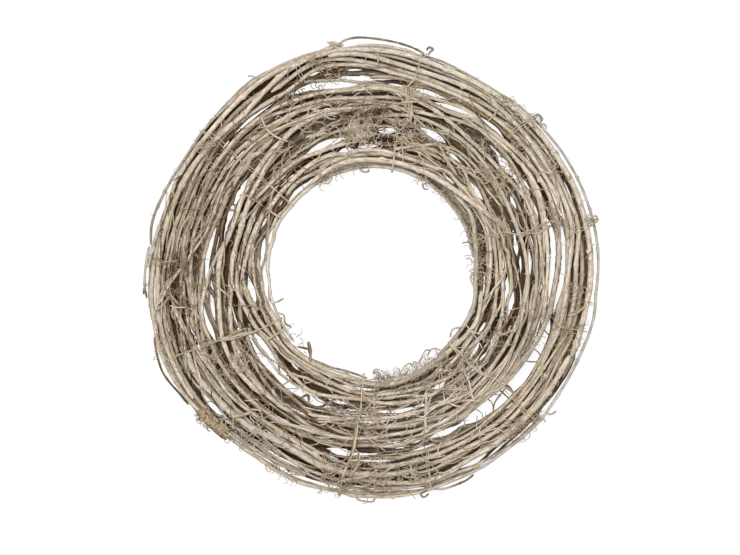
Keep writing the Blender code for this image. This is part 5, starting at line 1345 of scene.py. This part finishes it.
# %% Tendrils in patches
PATCHES = (
    (70, 80, 124, 150, 34, 14, 2.2, 0.7, "grey", 3),
    (89, 101, 127, 150, 56, 15, 2.2, 0.75, "grey", 3),
    (80, 89, 124, 150, 14, 13, 2.2, 0.6, "grey", 3), (89, 101, 127, 150, 50, 12, 2, 0.6, "pale", 3),
    (88, 101, 127, 150, 42, 12, 2.2, 0.7, "brown", 2),
    (270, 309, 95, 105, 130, 11, 2.4, 0.36, "grey", 1),
    (276, 306, 94, 103, 50, 11, 2.2, 0.32, "hoop", 1),
    (270, 284, 98, 106, 34, 11, 2.4, 0.4, "brown", 1),
    (98, 105, 195, 209, 34, 9, 2.2, 0.42, "gold", 3),
    (106, 119, 177, 196, 46, 9, 2.2, 0.65, "brown", 2),
    (84, 96, 150, 163, 60, 9, 2, 0.55, "brown", 2),
    (255, 272, 195, 228, 110, 12, 2.2, 0.5, "gold", 3),
    (272, 286, 184, 224, 70, 12, 2.6, 0.42, "sand", 3),
    (299, 307, 141, 151, 16, 13, 2.2, 0.5, "pale", 2),
    (302, 308, 115, 129, 24, 8, 1.8, 0.45, "sand", 2),
    (175, 192, 183, 202, 50, 12, 2.8, 0.4, "brown", 2),
    (203, 220, 176, 190, 80, 9, 2, 0.4, "grey", 2),
    (210, 219, 153, 169, 26, 16, 3.6, 0.5, "sand", 2),
    (350, 360, 101, 114, 22, 12, 2.6, 0.45, "sand", 2),
    (28, 40, 143, 173, 50, 12, 2.4, 0.55, "gold", 2),
    (43, 54, 160, 172, 34, 9, 2.4, 0.38, "sand", 2),
    (92, 100, 99, 103.5, 18, 8, 2, 0.45, "grey", 1),
    (106, 121, 98.5, 103.5, 40, 8, 2, 0.45, "sand", 1),
    (44, 63, 99, 103, 36, 8, 2.4, 0.42, "grey", 1), (0, 44, 99, 103.5, 44, 8, 2.6, 0.38, "grey", 1),
    (307, 318, 208, 228, 60, 9, 2.2, 0.45, "gold", 3),
    (219, 229, 220, 229, 90, 7, 2, 0.7, "gold", 2),
    (219, 230, 219, 229, 60, 8, 2.4, 0.55, "brown", 2),
    (242, 251, 218, 228, 30, 11, 3, 0.42, "grey", 2),
    (337, 345, 196, 221, 34, 9, 2.2, 0.42, "gold", 2),
    (334, 348, 171, 188, 40, 9, 2.4, 0.38, "grey", 1),
    (142, 170, 180, 198, 34, 11, 2.8, 0.42, "sand", 2),
    (249, 264, 140, 152, 46, 9, 2.4, 0.42, "grey", 1),
    (262, 275, 140, 168, 70, 10, 2.4, 0.4, "sand", 2),
    (305, 318, 128, 142, 40, 9, 2.4, 0.42, "sand", 2),
    (280, 300, 119, 128, 40, 8, 2.2, 0.4, "brown", 1),
    (325, 340, 130, 157, 40, 9, 2.4, 0.4, "sand", 2),
    (228, 242, 206, 220, 40, 8, 2.2, 0.4, "grey", 2),
    (195, 210, 205, 233, 30, 9, 2.4, 0.42, "sand", 2),
    (166, 178, 214, 223, 8, 7, 2, 0.36, "grey", 2), (11, 14, 219, 227, 10, 9, 1.5, 0.5, "grey", 2),
    (26, 31, 200, 212, 14, 10, 1.8, 0.45, "sand", 2),
    (40.5, 43, 220, 226, 12, 9, 1.6, 0.5, "grey", 2),
    (46, 51, 206, 217, 20, 10, 1.6, 0.45, "sand", 2),
    (75, 80, 180, 189, 16, 11, 1.6, 0.5, "gold", 3),
    (103, 107, 212, 220, 26, 8, 1.6, 0.5, "gold", 3),
    (139, 146, 198, 210, 26, 10, 2, 0.45, "sand", 2),
    (36, 44, 188, 194, 16, 9, 1.8, 0.42, "sand", 2),
    (346, 356, 198, 216, 30, 10, 2, 0.45, "gold", 2),
    (12, 20, 180, 197, 36, 9, 1.8, 0.42, "sand", 2),
    (0, 20, 104, 116, 40, 10, 2.2, 0.42, "sand", 2),
    (0, 360, 108, 222, 260, 10, 2.6, 0.38, "sand", 1),
    (0, 360, 108, 222, 160, 9, 2.4, 0.36, "pale", 1),
    (0, 360, 108, 222, 240, 7, 2.2, 0.34, "brown", 1),
    (213, 233, 101, 106, 14, 8, 2.4, 0.36, "grey", 1),
)


TENDRIL_HEIGHTS = (0.8, 28.0)


def tendrils(first, last, inner, outer, count, length, tip, half, tint, rise, rings=18, sides=3):
    """Flat spirals: the direction is the running sum of step * ((0.15 + s^1.5) / tip radius + waver)."""
    azimuth = np.radians(rng.uniform(first, last, count))
    root = rng.uniform(inner, outer, (count, 1))
    radius = bowed_round_gaps(np.degrees(azimuth)[:, None], root, np.ones(count))[:, 0]
    size = length * rng.uniform(0.5, 1.5, count)[:, None]
    hand = rng.choice((-1.0, 1.0), count)[:, None]
    s = np.linspace(0, 1, rings)
    bend = hand * (0.15 + s ** 1.5) / (tip * rng.uniform(0.5, 1.3, (count, 1)))
    bend = bend + 0.22 * np.sin(s * rng.uniform(6, 20, (count, 1)) + rng.uniform(0, 7, (count, 1)))
    step = size / rings
    course = azimuth[:, None] + math.pi / 2 + rng.normal(0, 1.0, (count, 1)) + np.cumsum(bend * step, axis=1)
    x = radius[:, None] * np.cos(azimuth[:, None]) + np.cumsum(step * np.cos(course), axis=1)
    y = radius[:, None] * np.sin(azimuth[:, None]) + np.cumsum(step * np.sin(course), axis=1)
    z = laid_over(x, y, 1.2) + half + rise * rng.random((count, 1)) * s * (1.2 - s)
    halves = half * rng.uniform(0.7, 1.3, (count, 1)) * (1.1 - 0.5 * s)
    paths = np.stack((x, y, np.clip(z, *TENDRIL_HEIGHTS)), -1)
    colours = np.stack([shades(tint, rings, 0.15) for _ in range(count)])
    return tube_set(paths, halves, sides, stained_and_depth_shaded(paths, colours))


for number, name in enumerate(("tendrils_1", "tendrils_2", "tendrils_3")):
    rows = PATCHES[number::3]
    parts = joined([tendrils(*row) for row in rows])
    make_piece(name, parts, TWIG_BARK)
    print(name + ":", sum(row[4] for row in rows), "faces:", len(parts["quads"]) + len(parts["fans"]))
